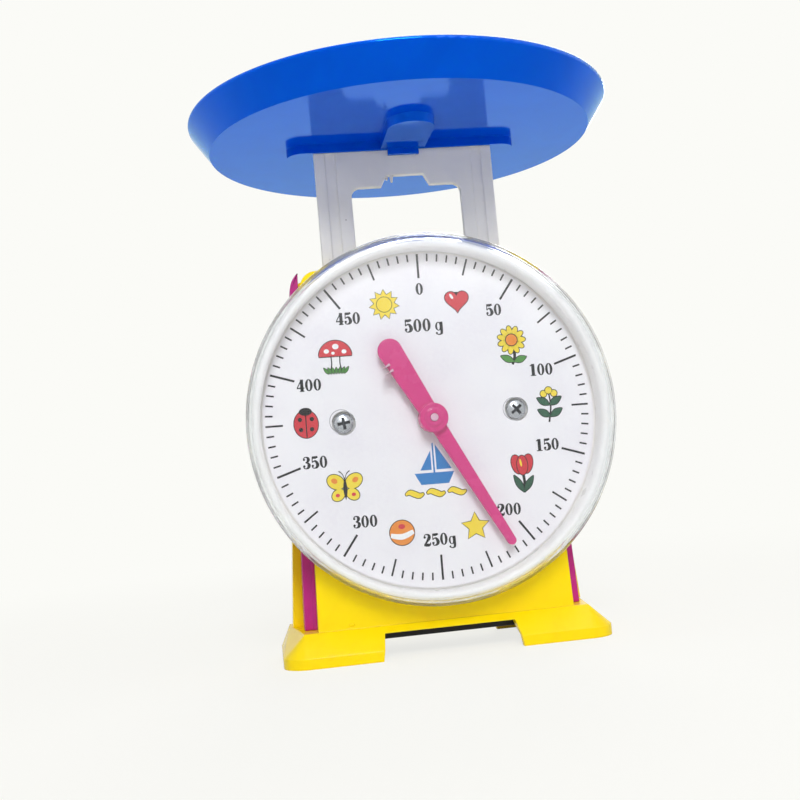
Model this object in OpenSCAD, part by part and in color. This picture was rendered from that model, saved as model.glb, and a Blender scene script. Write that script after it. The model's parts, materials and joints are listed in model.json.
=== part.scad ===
// Toy dial scale. A tray on a sprung bracket slides down, and a rack and pinion turn the pointer once round.
// Origin on the floor under the tray's centre, +X to the right of the dial, -Y to the front, +Z up, in mm.
// Drawn at a reading of 211 on a dial of 500, with the tray part of the way down.

/* [Tray] */
// Radius of the tray over its rim
tray_r = 61.2; // [60:0.2:66]
// Radius of the tray's flat floor
tray_floor_r = 55.7; // [52:0.1:58]
// Height of the rim over the tray's underside
tray_h = 9; // [6:0.1:9.6]
// Thickness of the tray's floor and wall
tray_t = 1.6; // [1.2:0.1:2]
// Height of the tray's underside over the floor of the room
tray_z = 146.2; // [145:0.2:150]
// Length of the socket bar under the tray
bar_l = 67; // [64:0.2:74]
// Depth of the socket bar, front to back
bar_d = 9.6; // [8:0.2:11]
// Drop of the socket bar below the tray's underside
bar_h = 2.6; // [2:0.1:3.2]
// Width of the tongue in front of the bar
tongue_w = 13.4; // [12:0.2:16]
// Reach of the tongue's round end in front of the tray's centre
tongue_reach = 32; // [26:0.2:42]
// Drop of the tongue below the tray's underside
tongue_h = 2.4; // [2:0.1:3.2]

/* [Bracket] */
// Width over the bracket's two arms
bracket_w = 52; // [50:0.5:52]
// Width of one arm
arm_w = 10; // [8:0.5:11]
// Thickness of the bracket plate
bracket_t = 2; // [1.8:0.1:2.2]
// Front face of the bracket plate
bracket_y = -6.8; // [-7:0.1:-6.6]
// Height of the window's top edge
window_z = 133; // [130:0.5:136]
// Radius of the window's upper corners
window_r = 2.6; // [1:0.2:4]
// Width of the guide groove in each arm
groove_w = 3; // [2.4:0.1:3.4]
// Distance of each guide groove from the middle
groove_x = 21.4; // [20.5:0.1:22]

/* [Case] */
// Height of the case's top over the floor
case_top = 108.6; // [107:0.1:112]
// Half width of the front plate where it meets the base
face_low = 36.1; // [35.5:0.1:36.6]
// Half width of the front plate at its top
face_high = 33.1; // [32.8:0.1:33.6]
// Front face of the front plate
face_y = -12.05; // [-12.4:0.05:-11.8]
// Half width of the rear cover where it meets the base
rear_low = 42.6; // [42:0.1:44]
// Half width of the rear cover at its top
rear_high = 35.3; // [34.8:0.1:36]
// Rear face of the rear cover
rear_y = 12.4; // [12:0.1:13]
// Plane where front shell, side panels and rear cover meet
split_y = 3.5; // [3:0.1:4]
// Wall thickness of the case
wall = 2; // [1.8:0.1:2.2]
// Radius of the case's upper corners
corner_r = 4.5; // [4:0.1:6]
// Outer half width of the side panels at the base
panel_low = 39.6; // [39.2:0.1:40]
// Thickness of the side panels
panel_t = 2.4; // [2:0.1:2.6]

/* [Base] */
// Height of the base
base_h = 8.7; // [8:0.1:10]
// Height of the upright band at the foot of the base
band_h = 2.9; // [2:0.1:3.5]
// Half width of the base on the floor
base_half = 46.2; // [45:0.1:48]
// Half depth of the base on the floor
base_deep = 18.6; // [18:0.1:20]
// Radius of the base's corners on the floor
base_r = 7; // [5:0.5:9]
// Width of the gap between the feet
gap_w = 39.2; // [36:0.2:42]
// Height of the gap between the feet
gap_h = 6.9; // [6.5:0.1:7.2]

/* [Dial] */
// Height of the dial's centre over the floor
dial_z = 64.5; // [63:0.5:66]
// Radius of the lens
lens_r = 51.2; // [50.6:0.1:51.5]
// Wall thickness of the lens
lens_t = 1.2; // [1:0.1:1.4]
// Radius of the lens's front edge
lens_edge_r = 3; // [2:0.1:4]
// Depth of the lens in front of the front plate
lens_d = 11.7; // [11:0.1:13]
// Radius of the printed card
card_r = 46.8; // [46:0.1:46.8]
// Thickness of the printed card
card_t = 0.25; // [0.2:0.05:0.4]
// Distance of each dial screw from the pointer's axis
dial_screw_x = 24.5; // [23.5:0.1:25]

/* [Pointer] */
// Reading at rest, clockwise from the top
reading_deg = 152; // [0:1:360]
// Length of the needle from the axis
needle_l = 41.5; // [36:0.5:43]
// Width of the needle at the hub
needle_w = 4.3; // [3:0.1:5]
// Width of the needle at its tip
tip_w = 2.5; // [1.5:0.1:3]
// Distance of the tail's round end from the axis
tail_l = 22; // [18:0.5:26]
// Radius of the tail's round end
tail_r = 3.4; // [2.5:0.1:4]
// Radius of the pointer's hub
hub_r = 4; // [3:0.1:5]

/* [Rack and pinion] */
// Module of the teeth
tooth_m = 0.8; // [0.7:0.1:0.8]
// Number of pinion teeth
pinion_n = 8; // [8:1:9]
// Pressure angle of the teeth
tooth_angle = 25; // [22:1:27]
// Play that is taken off each tooth's thickness
play = 0.12; // [0.08:0.02:0.2]
// Radius of the pointer's shaft
shaft_r = 1.1; // [1:0.05:1.2]
// Running clearance round the shaft
shaft_gap = 0.06; // [0.03:0.01:0.09]

/* [Spring] */
// Mean radius of the spring's coils
coil_r = 4.2; // [4:0.1:5]
// Radius of the spring's wire
wire_r = 0.45; // [0.3:0.05:0.5]
// Number of coils
coils = 9; // [6:1:10]

/* [Hidden] */
$fn = 64;

yellow = "#f2c200";
magenta = "#c2188a";
white = "#ecebea";
zinc = "#b9bcc0";
// A length past every piece, how far a cut runs past a face, and how far joined shapes sink in
far = 200;
over = 1;
skin = 0.01;

// Case
face_back = face_y + wall;
return_y = -6.5;
web_z = base_h - wall;
roof_z = case_top - 5;
rear_inner = rear_y - wall;
flange_y = split_y + 1.6;
seat_front = 40;
seat_rear = 43.4;
seat_deep = 12.9;
gap_draft = 1.4;
cover_half = 36.5;
cover_deep = 10.8;
cover_z = web_z - 1.8;
panel_lean = 0.038;
panel_foot = base_h;
panel_shoulder = case_top - 4.5;
panel_tip = case_top + 0.8;
panel_gap = 0.5;
tongue_in = 2.2;
slot_play = 0.4;

// Bracket, crosshead and stops
arm_out = bracket_w / 2;
arm_in = arm_out - arm_w;
bracket_back = bracket_y + bracket_t;
head_top = 40;
head_low = 30;
head_half = 27.2;
head_front = -8.3;
head_back = -2.3;
arm_foot = 33;
rib_low = 48.9;
rib_w = groove_w - 0.9;
groove_d = 0.6;
rib_y = bracket_y + 0.3;
arm_screw_z = (head_top + arm_foot) / 2;
arm_bore_y = -7.9;
notch_low = 7.1;
notch_high = 5.4;
notch_h = 3.2;

// Socket bar, tongue and catch under the tray
bar_front = -7.7;
tongue_draft = 0.2;
tongue_slope = 0.4;
catch_half = 4.5;
catch_front = -8.3;
catch_h = bar_h + 1.6;

// Dial, in distances to the front of the tray's axis
face_f = -face_y;
dish_t = 2;
dish_r = lens_r - lens_t - 0.2;
dish_rim_t = 2.4;
dish_rim_h = 6.4;
card_f = face_f + dish_t;
rim_f = card_f + dish_rim_h - dish_rim_t / 2;
dial_screw_z = dial_z + 0.7;
recess_r = 3.35;
recess_d = 1.2;
dish_bore_r = 2.55;
card_bore_r = 2.7;
bush_r = 2.5;
bush_front = 14.9;
bush_back = 7.4;
flange_r = 4;
flange_t = 1;

// Pointer train
pinion_y = -7;
pinion_w = 2.4;
pitch_r = tooth_m * pinion_n / 2;
tooth_pitch = PI * tooth_m;
addendum = 0.6 * tooth_m;
dedendum = 0.85 * tooth_m;
rack_teeth_below = 5;
rack_teeth_above = 7;
rack_back = 8.2;
bridge_y = -4.2;
bridge_t = 2;
bridge_half = 31.8;
bridge_h = 10;
bridge_screw_x = 29.2;
bridge_boss_r = 3.5;
hub_back = 15.5;
needle_back = 16.6;
needle_t = 1.4;
hub_front = 19.8;
collar_r = 2.5;
collar_front = 20.3;
shaft_front = 20.6;
shaft_back = 0.3;
bridge_boss_y = -1.3;
clip_f = 0.6;
clip_t = 0.5;
clip_w = 1.6;

// Posts, with the ends of their bores
post_r = 2.6;
high_post_r = 2.5;
dial_post_r = 3;
cover_post_r = 3.9;
dial_post_y = -7.3;
dial_bore_y = -7.6;
bridge_bore_y = -9;
cover_bore_y = -5;
bottom_bore_d = 8;
high_post = [28.8, 100];
low_post = [30.4, 20];
bottom_post_x = 30.9;
bottom_post_y = [-6.5, 1.5];

// Screws: radius and height of the head, radius and length of the shank
screw_r = 1.25;
small_screw_r = 1.1;
screw_play = 0.15;
dial_screw = [2.8, 1.7, screw_r, 5];
bridge_screw = [2.1, 1.4, small_screw_r, 6];
cover_screw = [2.6, 1.6, screw_r, 14];
bottom_screw = [2.6, 1.6, screw_r, 8];
arm_screw = [2.1, 1.3, small_screw_r, 5.6];
cover_screw_seat = 10.2;
cover_sink_r = 2.8;

// Spring seats
spring_y = (head_front + head_back) / 2;
spigot_r = 2.8;
spigot_h = 4;
spring_post_top = 14;

// Shared shapes

// The same shape on the right and, mirrored, on the left
module both_sides() {
    children();
    mirror([1, 0, 0]) children();
}

// Extrudes an outline in X and Z from y0 back to y1
module along_y(y0, y1) {
    translate([0, y1, 0]) rotate([90, 0, 0]) linear_extrude(y1 - y0) children();
}

// Round bar along Y
module rod_y(x, z, r, y0, y1) {
    translate([x, y1, z]) rotate([90, 0, 0]) cylinder(r = r, h = y1 - y0);
}

// Turns a profile of radius and distance to the front about the pointer's axis
module turn_dial() {
    translate([0, 0, dial_z]) rotate([90, 0, 0]) rotate_extrude($fn = 128) children();
}

// Rectangle with true round corners, centred
module round_rect(half_x, half_y, r) {
    square([2 * half_x, 2 * (half_y - r)], center = true);
    square([2 * (half_x - r), 2 * half_y], center = true);
    for (x = [-1, 1], y = [-1, 1]) translate([x * (half_x - r), y * (half_y - r)]) circle(r);
}

// Pan head screw along Z, head up from z = 0
module pan_screw(size) {
    head_r = size[0];
    head_h = size[1];
    edge = head_h / 2;
    rotate_extrude() {
        square([head_r, head_h - edge]);
        square([head_r - edge, head_h]);
        translate([head_r - edge, head_h - edge]) intersection() {
            circle(edge);
            square(edge);
        }
    }
    translate([0, 0, -size[3]]) cylinder(r = size[2], h = size[3]);
}

// Front view of a case half: sides that lean in, round upper corners, drawn in by an inset
module case_outline(low_half, high_half, inset, low_z) {
    lean = (low_half - high_half) / (case_top - base_h);
    tilt = atan(lean);
    r = corner_r - inset;
    corner_x = high_half + corner_r * lean - corner_r / cos(tilt);
    corner_z = case_top - corner_r;
    foot = high_half + (case_top - low_z) * lean - inset / cos(tilt);
    shoulder = [corner_x + r * cos(tilt), corner_z + r * sin(tilt)];
    polygon([[-corner_x, corner_z + r], [corner_x, corner_z + r], shoulder, [foot, low_z], [-foot, low_z],
             [-shoulder[0], shoulder[1]]]);
    both_sides() translate([corner_x, corner_z]) circle(r);
}

module face_outline(inset, low_z) {
    case_outline(face_low, face_high, inset, low_z);
}

module rear_outline(inset, low_z) {
    case_outline(rear_low, rear_high, inset, low_z);
}

module face_ring() {
    difference() {
        face_outline(0, web_z);
        face_outline(wall, web_z - over);
    }
}

// Flared base: upright band on the floor, then a slope up to the seat of the case, drawn in by an inset
module base_form(inset, top_z, low_z) {
    translate([0, 0, low_z]) linear_extrude(band_h - low_z)
        round_rect(base_half - inset, base_deep - inset, base_r - inset);
    hull() {
        translate([0, 0, band_h - skin]) linear_extrude(skin)
            round_rect(base_half - inset, base_deep - inset, base_r - inset, $fn = 32);
        translate([0, 0, top_z - skin]) linear_extrude(skin)
            polygon([[-seat_front + inset, -seat_deep + inset], [seat_front - inset, -seat_deep + inset],
                     [seat_rear - inset, seat_deep - inset], [-seat_rear + inset, seat_deep - inset]]);
    }
}

module foot_gap() {
    low = gap_w / 2;
    high = low - gap_draft;
    polygon([[-low, -over], [low, -over], [high, gap_h], [-high, gap_h]]);
}

// Case

module front_shell() {
    color(yellow) difference() {
        union() {
            along_y(face_y, face_back) face_outline(0, web_z);
            along_y(face_back, return_y) face_ring();
            along_y(return_y, split_y) intersection() {
                face_ring();
                translate([-far / 2, roof_z]) square(far);
            }
            difference() {
                base_form(0, base_h, 0);
                base_form(wall, web_z, -over);
                translate([-face_low + wall, face_back, 0])
                    cube([2 * (face_low - wall), rear_inner - face_back, far]);
                along_y(-far, -cover_deep - slot_play) foot_gap();
                along_y(cover_deep + slot_play, far) foot_gap();
            }
            both_sides() {
                rod_y(dial_screw_x, dial_screw_z, dial_post_r, face_back - skin, dial_post_y);
                rod_y(bridge_screw_x, dial_z, post_r, face_back - skin, bridge_y);
                rod_y(high_post[0], high_post[1], high_post_r, face_back - skin, flange_y);
                rod_y(low_post[0], low_post[1], post_r, face_back - skin, flange_y);
                for (y = bottom_post_y)
                    translate([bottom_post_x, y, web_z]) cylinder(r = post_r, h = low_post[1] - web_z);
                translate([groove_x - rib_w / 2, face_back - skin, rib_low])
                    cube([rib_w, rib_y - face_back + skin, roof_z - rib_low]);
            }
            rod_y(0, dial_z, flange_r, face_back - skin, -bush_back - flange_t);
        }
        rod_y(0, dial_z, bush_r, -far, far);
        both_sides() {
            rod_y(dial_screw_x, dial_screw_z, screw_r, face_y - over, dial_bore_y);
            rod_y(bridge_screw_x, dial_z, small_screw_r, bridge_bore_y, bridge_y + over);
            for (post = [high_post, low_post])
                rod_y(post[0], post[1], screw_r, cover_bore_y, flange_y + over);
            for (y = bottom_post_y)
                translate([bottom_post_x, y, web_z - over]) cylinder(r = screw_r, h = bottom_bore_d);
        }
        translate([-arm_out - slot_play, bracket_y - slot_play, roof_z])
            cube([bracket_w + 2 * slot_play, bracket_t + 2 * slot_play, far]);
    }
}

module rear_cover() {
    color(yellow) difference() {
        union() {
            difference() {
                along_y(split_y, rear_y) rear_outline(0, base_h);
                along_y(flange_y, rear_inner) rear_outline(wall, base_h + wall);
                along_y(split_y - over, flange_y + over) face_outline(wall, base_h - over);
            }
            both_sides() for (post = [high_post, low_post])
                rod_y(post[0], post[1], cover_post_r, flange_y, rear_inner + skin);
        }
        both_sides() for (post = [high_post, low_post]) {
            rod_y(post[0], post[1], screw_r + screw_play, split_y, rear_y + over);
            rod_y(post[0], post[1], cover_sink_r, cover_screw_seat, rear_y + over);
        }
    }
}

// Half width of a side panel's outer face at a height
function panel_out(z) = panel_low - panel_lean * (z - panel_foot);

// Front view of the right side panel: a leaning strip whose outer face curves in to a pointed top
module panel_strip() {
    rise = panel_tip - panel_shoulder;
    nose_r = (rise * rise + panel_t * panel_t) / (2 * panel_t);
    intersection() {
        polygon([[panel_out(panel_foot) - panel_t, panel_foot], [panel_out(panel_foot), panel_foot],
                 [panel_out(panel_tip), panel_tip], [panel_out(panel_tip) - panel_t, panel_tip]]);
        union() {
            square([far, panel_shoulder]);
            translate([panel_out(panel_shoulder) - nose_r, panel_shoulder]) circle(nose_r);
        }
    }
}

// Strip of the panel that goes in between the front shell and the rear cover
module panel_tongue() {
    low = panel_out(panel_foot) - panel_t;
    high = panel_out(roof_z) - panel_t;
    polygon([[low - tongue_in, panel_foot], [low, panel_foot], [high, roof_z], [high - tongue_in, roof_z]]);
}

module side_panel() {
    color(magenta) {
        along_y(return_y + panel_gap, split_y) panel_strip();
        along_y(return_y, split_y) panel_tongue();
    }
}

module right_side_panel() {
    side_panel();
}

module left_side_panel() {
    mirror([1, 0, 0]) side_panel();
}

module bottom_cover() {
    color("#1c1c1e") difference() {
        union() {
            translate([-cover_half, -cover_deep, cover_z])
                cube([2 * cover_half, 2 * cover_deep, web_z - cover_z]);
            translate([0, spring_y, cover_z]) cylinder(r = spigot_r, h = spring_post_top - cover_z);
        }
        both_sides() for (y = bottom_post_y)
            translate([bottom_post_x, y, 0]) cylinder(r = screw_r + screw_play, h = far);
    }
}

// Dial

module dial_dish() {
    color(white) difference() {
        turn_dial() {
            translate([dish_bore_r, face_f]) square([dish_r - dish_bore_r, dish_t]);
            translate([dish_r - dish_rim_t, face_f]) square([dish_rim_t, rim_f - face_f]);
            translate([dish_r - dish_rim_t / 2, rim_f]) circle(dish_rim_t / 2);
        }
        both_sides() {
            rod_y(dial_screw_x, dial_screw_z, screw_r + screw_play, -far, far);
            rod_y(dial_screw_x, dial_screw_z, recess_r, -far, -card_f + recess_d);
        }
    }
}

module dial_card() {
    color("white") difference() {
        turn_dial() translate([card_bore_r, card_f]) square([card_r - card_bore_r, card_t]);
        both_sides() rod_y(dial_screw_x, dial_screw_z, recess_r, -far, far);
    }
}

// Half section of the lens's outer or inner form
module lens_half(r, front, edge) {
    square([r, front - edge]);
    square([r - edge, front]);
    translate([r - edge, front - edge]) circle(edge);
}

module lens() {
    color("lightcyan", 0.3) turn_dial() difference() {
        intersection() {
            lens_half(lens_r, face_f + lens_d, lens_edge_r);
            translate([0, face_f]) square(far);
        }
        lens_half(lens_r - lens_t, face_f + lens_d - lens_t, lens_edge_r - lens_t);
    }
}

module shaft_bush() {
    bore_r = shaft_r + shaft_gap;
    color(white) turn_dial() translate([bore_r, bush_back]) {
        square([bush_r - bore_r, bush_front - bush_back]);
        square([flange_r - bore_r, flange_t]);
    }
}

module gear_bridge() {
    color(white) difference() {
        union() {
            along_y(bridge_y, bridge_y + bridge_t)
                translate([0, dial_z]) round_rect(bridge_half, bridge_h / 2, post_r);
            rod_y(0, dial_z, bridge_boss_r, bridge_y, bridge_boss_y);
        }
        rod_y(0, dial_z, shaft_r + shaft_gap, -far, far);
        both_sides() rod_y(bridge_screw_x, dial_z, small_screw_r + screw_play, -far, far);
    }
}

// Fasteners

// A screw whose head points to the front or, with facing 1, to the rear, seated at y
module screw_y(x, y, z, facing, size) {
    translate([x, y, z]) rotate([-90 * facing, 0, 0]) pan_screw(size);
}

module dial_screws() {
    color(zinc) both_sides() screw_y(dial_screw_x, -card_f + recess_d, dial_screw_z, -1, dial_screw);
}

module bridge_screws() {
    color(zinc) both_sides() screw_y(bridge_screw_x, bridge_y + bridge_t, dial_z, 1, bridge_screw);
}

module cover_screws() {
    color(zinc) both_sides() for (post = [high_post, low_post])
        screw_y(post[0], cover_screw_seat, post[1], 1, cover_screw);
}

module bottom_screws() {
    color(zinc) both_sides() for (y = bottom_post_y)
        translate([bottom_post_x, y, cover_z]) rotate([180, 0, 0]) pan_screw(bottom_screw);
}

module arm_screws() {
    color(zinc) both_sides() screw_y(groove_x, head_back, arm_screw_z, 1, arm_screw);
}

// Carriage

// Point where a line from p touches a circle of radius r about c, on its left or, with side -1, on its right
function touch(p, c, r, side) =
    let (way = c - p, l = norm(way), a = atan2(way[1], way[0]) + side * asin(r / l))
    p + sqrt(l * l - r * r) * [cos(a), sin(a)];

// Half section of the tray: flat floor, flared wall with a round rim
module tray_section() {
    rim_r = tray_t / 2;
    rim = [tray_r - rim_r, tray_h - rim_r];
    low = [tray_floor_r, 0];
    high = [tray_floor_r - tray_t / 2, tray_t];
    polygon([[0, 0], low, touch(low, rim, rim_r, -1), touch(high, rim, rim_r, 1), high, [0, tray_t]]);
    translate(rim) circle(rim_r);
}

// Plan of the tongue, drawn in by an inset, its round end set back
module tongue_outline(inset, set_back) {
    r = tongue_w / 2 - inset;
    end_y = -tongue_reach + tongue_w / 2 + set_back;
    translate([-r, end_y]) square([2 * r, bracket_y - end_y]);
    translate([0, end_y]) circle(r, $fn = 48);
}

module tray() {
    color("#0a58d8") difference() {
        union() {
            translate([0, 0, tray_z]) rotate_extrude($fn = 180) tray_section();
            translate([0, bar_front + bar_d / 2, tray_z - bar_h]) linear_extrude(bar_h + skin)
                round_rect(bar_l / 2, bar_d / 2, bar_d / 2 - skin);
            hull() {
                translate([0, 0, tray_z]) linear_extrude(skin) tongue_outline(0, 0);
                translate([0, 0, tray_z - tongue_h]) linear_extrude(skin)
                    tongue_outline(tongue_draft, tongue_slope);
            }
            translate([-catch_half, catch_front, tray_z - catch_h])
                cube([2 * catch_half, bracket_y - catch_front, catch_h]);
        }
        translate([-arm_out, bracket_y, tray_z - far]) cube([bracket_w, bracket_t, far]);
    }
}

// Front view of the bracket: two arms under a cross bar, a window with a notch
module bracket_outline() {
    notch_top = window_z + notch_h;
    difference() {
        translate([-arm_out, arm_foot]) square([bracket_w, tray_z - arm_foot]);
        translate([-arm_in, 0]) square([2 * arm_in, window_z - window_r]);
        translate([-arm_in + window_r, 0]) square([2 * (arm_in - window_r), window_z]);
        both_sides() translate([arm_in - window_r, window_z - window_r]) circle(window_r);
        polygon([[-notch_low, window_z - over], [notch_low, window_z - over], [notch_low, window_z],
                 [notch_high, notch_top], [-notch_high, notch_top], [-notch_low, window_z]]);
        both_sides() translate([groove_x, arm_screw_z]) circle(small_screw_r + screw_play);
    }
}

module tray_bracket() {
    color(white) difference() {
        along_y(bracket_y, bracket_back) bracket_outline();
        both_sides() translate([groove_x - groove_w / 2, bracket_y - over, head_top])
            cube([groove_w, over + groove_d, tray_z - bar_h - head_top]);
    }
}

module crosshead() {
    color(white) difference() {
        union() {
            translate([-head_half, head_front, head_low])
                cube([2 * head_half, head_back - head_front, head_top - head_low]);
            translate([0, spring_y, head_low - spigot_h]) cylinder(r = spigot_r, h = spigot_h + skin);
        }
        both_sides() {
            translate([arm_in, bracket_y, arm_foot]) cube([arm_w, bracket_t, far]);
            rod_y(groove_x, arm_screw_z, small_screw_r, arm_bore_y, head_back + over);
        }
        translate([pitch_r + dedendum, pinion_y, arm_foot])
            cube([rack_back - pitch_r - dedendum, pinion_w, far]);
    }
}

// Front view of the rack, teeth towards the pinion
module rack_outline() {
    half = tooth_pitch / 4 - play / 2;
    slope = tan(tooth_angle);
    rack_top = dial_z + (rack_teeth_above + 0.5) * tooth_pitch;
    translate([pitch_r + dedendum, arm_foot]) square([rack_back - pitch_r - dedendum, rack_top - arm_foot]);
    for (i = [-rack_teeth_below : rack_teeth_above]) translate([pitch_r, dial_z + i * tooth_pitch])
        polygon([[dedendum + skin, half + dedendum * slope], [-addendum, half - addendum * slope],
                 [-addendum, -half + addendum * slope], [dedendum + skin, -half - dedendum * slope]]);
}

module rack() {
    color(white) along_y(pinion_y, pinion_y + pinion_w) rack_outline();
}

// Pointer train

// Polar angle of an involute at a radius, from the radius of its base circle
function involute_deg(base, r) =
    let (a = acos(min(1, base / r))) tan(a) * 180 / PI - a;

// Corners of a gear with one tooth space centred on +X, as a list of points
function gear_points(n, pitch, tip, root, angle, thin, steps = 5) =
    let (base = pitch * cos(angle), half = 90 / n - thin * 90 / (PI * pitch) + involute_deg(base, pitch))
    [for (i = [0 : n - 1], side = [-1, 1], k = [0 : steps])
        let (up = side < 0 ? k : steps - k,
             r = up == 0 ? root : base + (tip - base) * (up - 1) / (steps - 1),
             a = (i + 0.5) * 360 / n + side * (half - involute_deg(base, max(r, base))))
        [r * cos(a), r * sin(a)]];

module pinion() {
    color("#d9d6cf") along_y(pinion_y, pinion_y + pinion_w) translate([0, dial_z]) difference() {
        polygon(gear_points(pinion_n, pitch_r, pitch_r + addendum, pitch_r - dedendum, tooth_angle, play));
        circle(shaft_r);
    }
}

module pointer_shaft() {
    color(white) rod_y(0, dial_z, shaft_r, -shaft_front, -shaft_back);
}

// Needle up and tail down, before it is turned to its reading
module pointer_outline() {
    tip_y = needle_l - tip_w / 2;
    tail_neck = tail_r - 1;
    polygon([[-needle_w / 2, 0], [needle_w / 2, 0], [tip_w / 2, tip_y], [-tip_w / 2, tip_y]]);
    translate([0, tip_y]) circle(tip_w / 2);
    polygon([[-tail_neck, 0], [tail_neck, 0], [tail_r, -tail_l], [-tail_r, -tail_l]]);
    translate([0, -tail_l]) circle(tail_r);
}

module pointer() {
    color("#e8407f") difference() {
        union() {
            along_y(-needle_back - needle_t, -needle_back)
                translate([0, dial_z]) rotate(-reading_deg) pointer_outline();
            rod_y(0, dial_z, hub_r, -hub_front, -hub_back);
            rod_y(0, dial_z, collar_r, -collar_front, -hub_back);
        }
        rod_y(0, dial_z, shaft_r, -far, far);
    }
}

module shaft_clip() {
    color(zinc) turn_dial() translate([shaft_r, clip_f]) square([clip_w, clip_t]);
}

// Spring

spring_low = web_z + wire_r + 0.05;
spring_high = head_low - wire_r - 0.05;
ring_steps = 8;
wire_sides = 6;
stations = coils * ring_steps;

// Middle of the wire at a station, counted from the foot of the spring
function coil_at(i) =
    let (a = 360 * i / ring_steps)
    [coil_r * cos(a), spring_y + coil_r * sin(a), spring_low + (spring_high - spring_low) * i / stations];

// Corner of the wire's section at a station
function wire_at(i, k) =
    let (a = 360 * i / ring_steps,
         b = 360 * k / wire_sides,
         climb = atan((spring_high - spring_low) / (coils * 2 * PI * coil_r)),
         out = wire_r * cos(b),
         up = wire_r * sin(b),
         lean = up * sin(climb))
    coil_at(i) + [out * cos(a) + lean * sin(a), out * sin(a) - lean * cos(a), up * cos(climb)];

// Least gap between one turn of the wire and another
coil_gap = -2 * wire_r
    + min([for (i = [0 : stations], j = [i + ring_steps / 2 : stations]) norm(coil_at(i) - coil_at(j))]);
echo(coil_gap = coil_gap);

module return_spring() {
    points = [for (i = [0 : stations], k = [0 : wire_sides - 1]) wire_at(i, k)];
    sides = [for (i = [0 : stations - 1], k = [0 : wire_sides - 1], half = [0, 1])
        let (a = i * wire_sides + k, b = i * wire_sides + (k + 1) % wire_sides)
        half == 0 ? [a, a + wire_sides, b] : [b, a + wire_sides, b + wire_sides]];
    last = stations * wire_sides;
    ends = [for (k = [1 : wire_sides - 2], top = [0, 1])
        top == 0 ? [0, k, k + 1] : [last, last + k + 1, last + k]];
    color(zinc) polyhedron(points, concat(sides, ends));
}

front_shell();
rear_cover();
left_side_panel();
right_side_panel();
bottom_cover();
dial_dish();
dial_card();
lens();
shaft_bush();
gear_bridge();
dial_screws();
bridge_screws();
cover_screws();
bottom_screws();
return_spring();
tray();
tray_bracket();
crosshead();
rack();
arm_screws();
pointer();
pointer_shaft();
pinion();
shaft_clip();
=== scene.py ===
"""Dresses the toy dial scale: finishes, dial print, screws and spring on the fixed frame, in a studio."""

import json
import logging
import math
from collections.abc import Callable
from dataclasses import dataclass
from enum import Enum
from functools import partial
from typing import ClassVar

import bmesh
import bpy
from bmesh.types import BMesh, BMVert
from bpy.types import AreaLight, Material, Mesh, Node, NodeSocket, NodeTree, Object
from mathutils import Matrix, Vector


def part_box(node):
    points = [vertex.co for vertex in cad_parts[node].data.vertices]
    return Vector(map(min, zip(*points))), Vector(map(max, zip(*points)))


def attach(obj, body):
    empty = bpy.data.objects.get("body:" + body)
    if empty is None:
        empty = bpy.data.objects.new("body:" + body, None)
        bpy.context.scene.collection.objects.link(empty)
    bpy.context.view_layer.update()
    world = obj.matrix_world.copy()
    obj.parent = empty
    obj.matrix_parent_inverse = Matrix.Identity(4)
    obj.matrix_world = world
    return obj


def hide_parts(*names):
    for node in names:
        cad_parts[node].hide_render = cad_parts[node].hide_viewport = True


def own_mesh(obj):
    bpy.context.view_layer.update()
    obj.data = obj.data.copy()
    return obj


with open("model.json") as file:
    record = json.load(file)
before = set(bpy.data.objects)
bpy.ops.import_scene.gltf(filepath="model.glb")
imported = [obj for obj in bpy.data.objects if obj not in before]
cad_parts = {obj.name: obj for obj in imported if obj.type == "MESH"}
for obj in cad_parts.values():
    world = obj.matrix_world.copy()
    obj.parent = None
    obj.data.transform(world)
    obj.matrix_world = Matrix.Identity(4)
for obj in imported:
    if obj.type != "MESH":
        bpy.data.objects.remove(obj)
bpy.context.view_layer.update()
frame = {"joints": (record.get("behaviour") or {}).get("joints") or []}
POINTER_SPIN = next(joint for joint in frame["joints"] if joint["name"] == "pointer_spin")
DIAL_AXIS = Vector(POINTER_SPIN["pos_m"])

LOG = logging.getLogger("toy_dial_scale")
MM = 0.001
# Points nearer to each other than this are one point
SAME_POINT = 0.001 * MM

Point = tuple[float, float]
Place = tuple[float, float, float]
Outline = list[Point]
# Each point of a stroke is x, z and the width there
Stroke = list[Place]
Loop = list[BMVert]
Adder = Callable[..., Node]


# Shared helpers


def linear(hex_colour: str) -> tuple[float, float, float, float]:
    """Turns an sRGB hex colour into linear light.

    Args:
        hex_colour: Six hex digits after a hash sign.

    Returns:
        Red, green and blue, and an alpha of 1.
    """
    parts = [int(hex_colour[i:i + 2], 16) / 255 for i in (1, 3, 5)]
    light = [c / 12.92 if c <= 0.04045 else ((c + 0.055) / 1.055) ** 2.4 for c in parts]
    return (*light, 1.0)


def per_mm(size: float) -> float:
    """Texture scale at which one step of a pattern measures size millimetres."""
    return 1 / (size * MM)


def turns(count: int) -> list[float]:
    """Angles that part a full turn into as many even steps, in radians."""
    return [2 * math.pi * i / count for i in range(count)]


def add_node(tree: NodeTree, kind: str, inputs: dict[str | int, object] | None = None,
             **settings: object) -> Node:
    """Adds a shader node with its settings, values and links.

    Args:
        tree: Node tree that takes the node.
        kind: Type of the node, without the prefix that all shader nodes have.
        inputs: For each input, by name or number, its value, or the socket or node that feeds it. A node
            feeds it from its first output in use.
        **settings: The node's own properties.

    Returns:
        The new node.
    """
    node = tree.nodes.new("ShaderNode" + kind)
    for name, value in settings.items():
        setattr(node, name, value)
    for key, value in (inputs or {}).items():
        if isinstance(value, Node):
            value = next(socket for socket in value.outputs if socket.enabled)
        if isinstance(value, NodeSocket):
            tree.links.new(value, node.inputs[key])
        else:
            node.inputs[key].default_value = value
    return node


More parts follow.
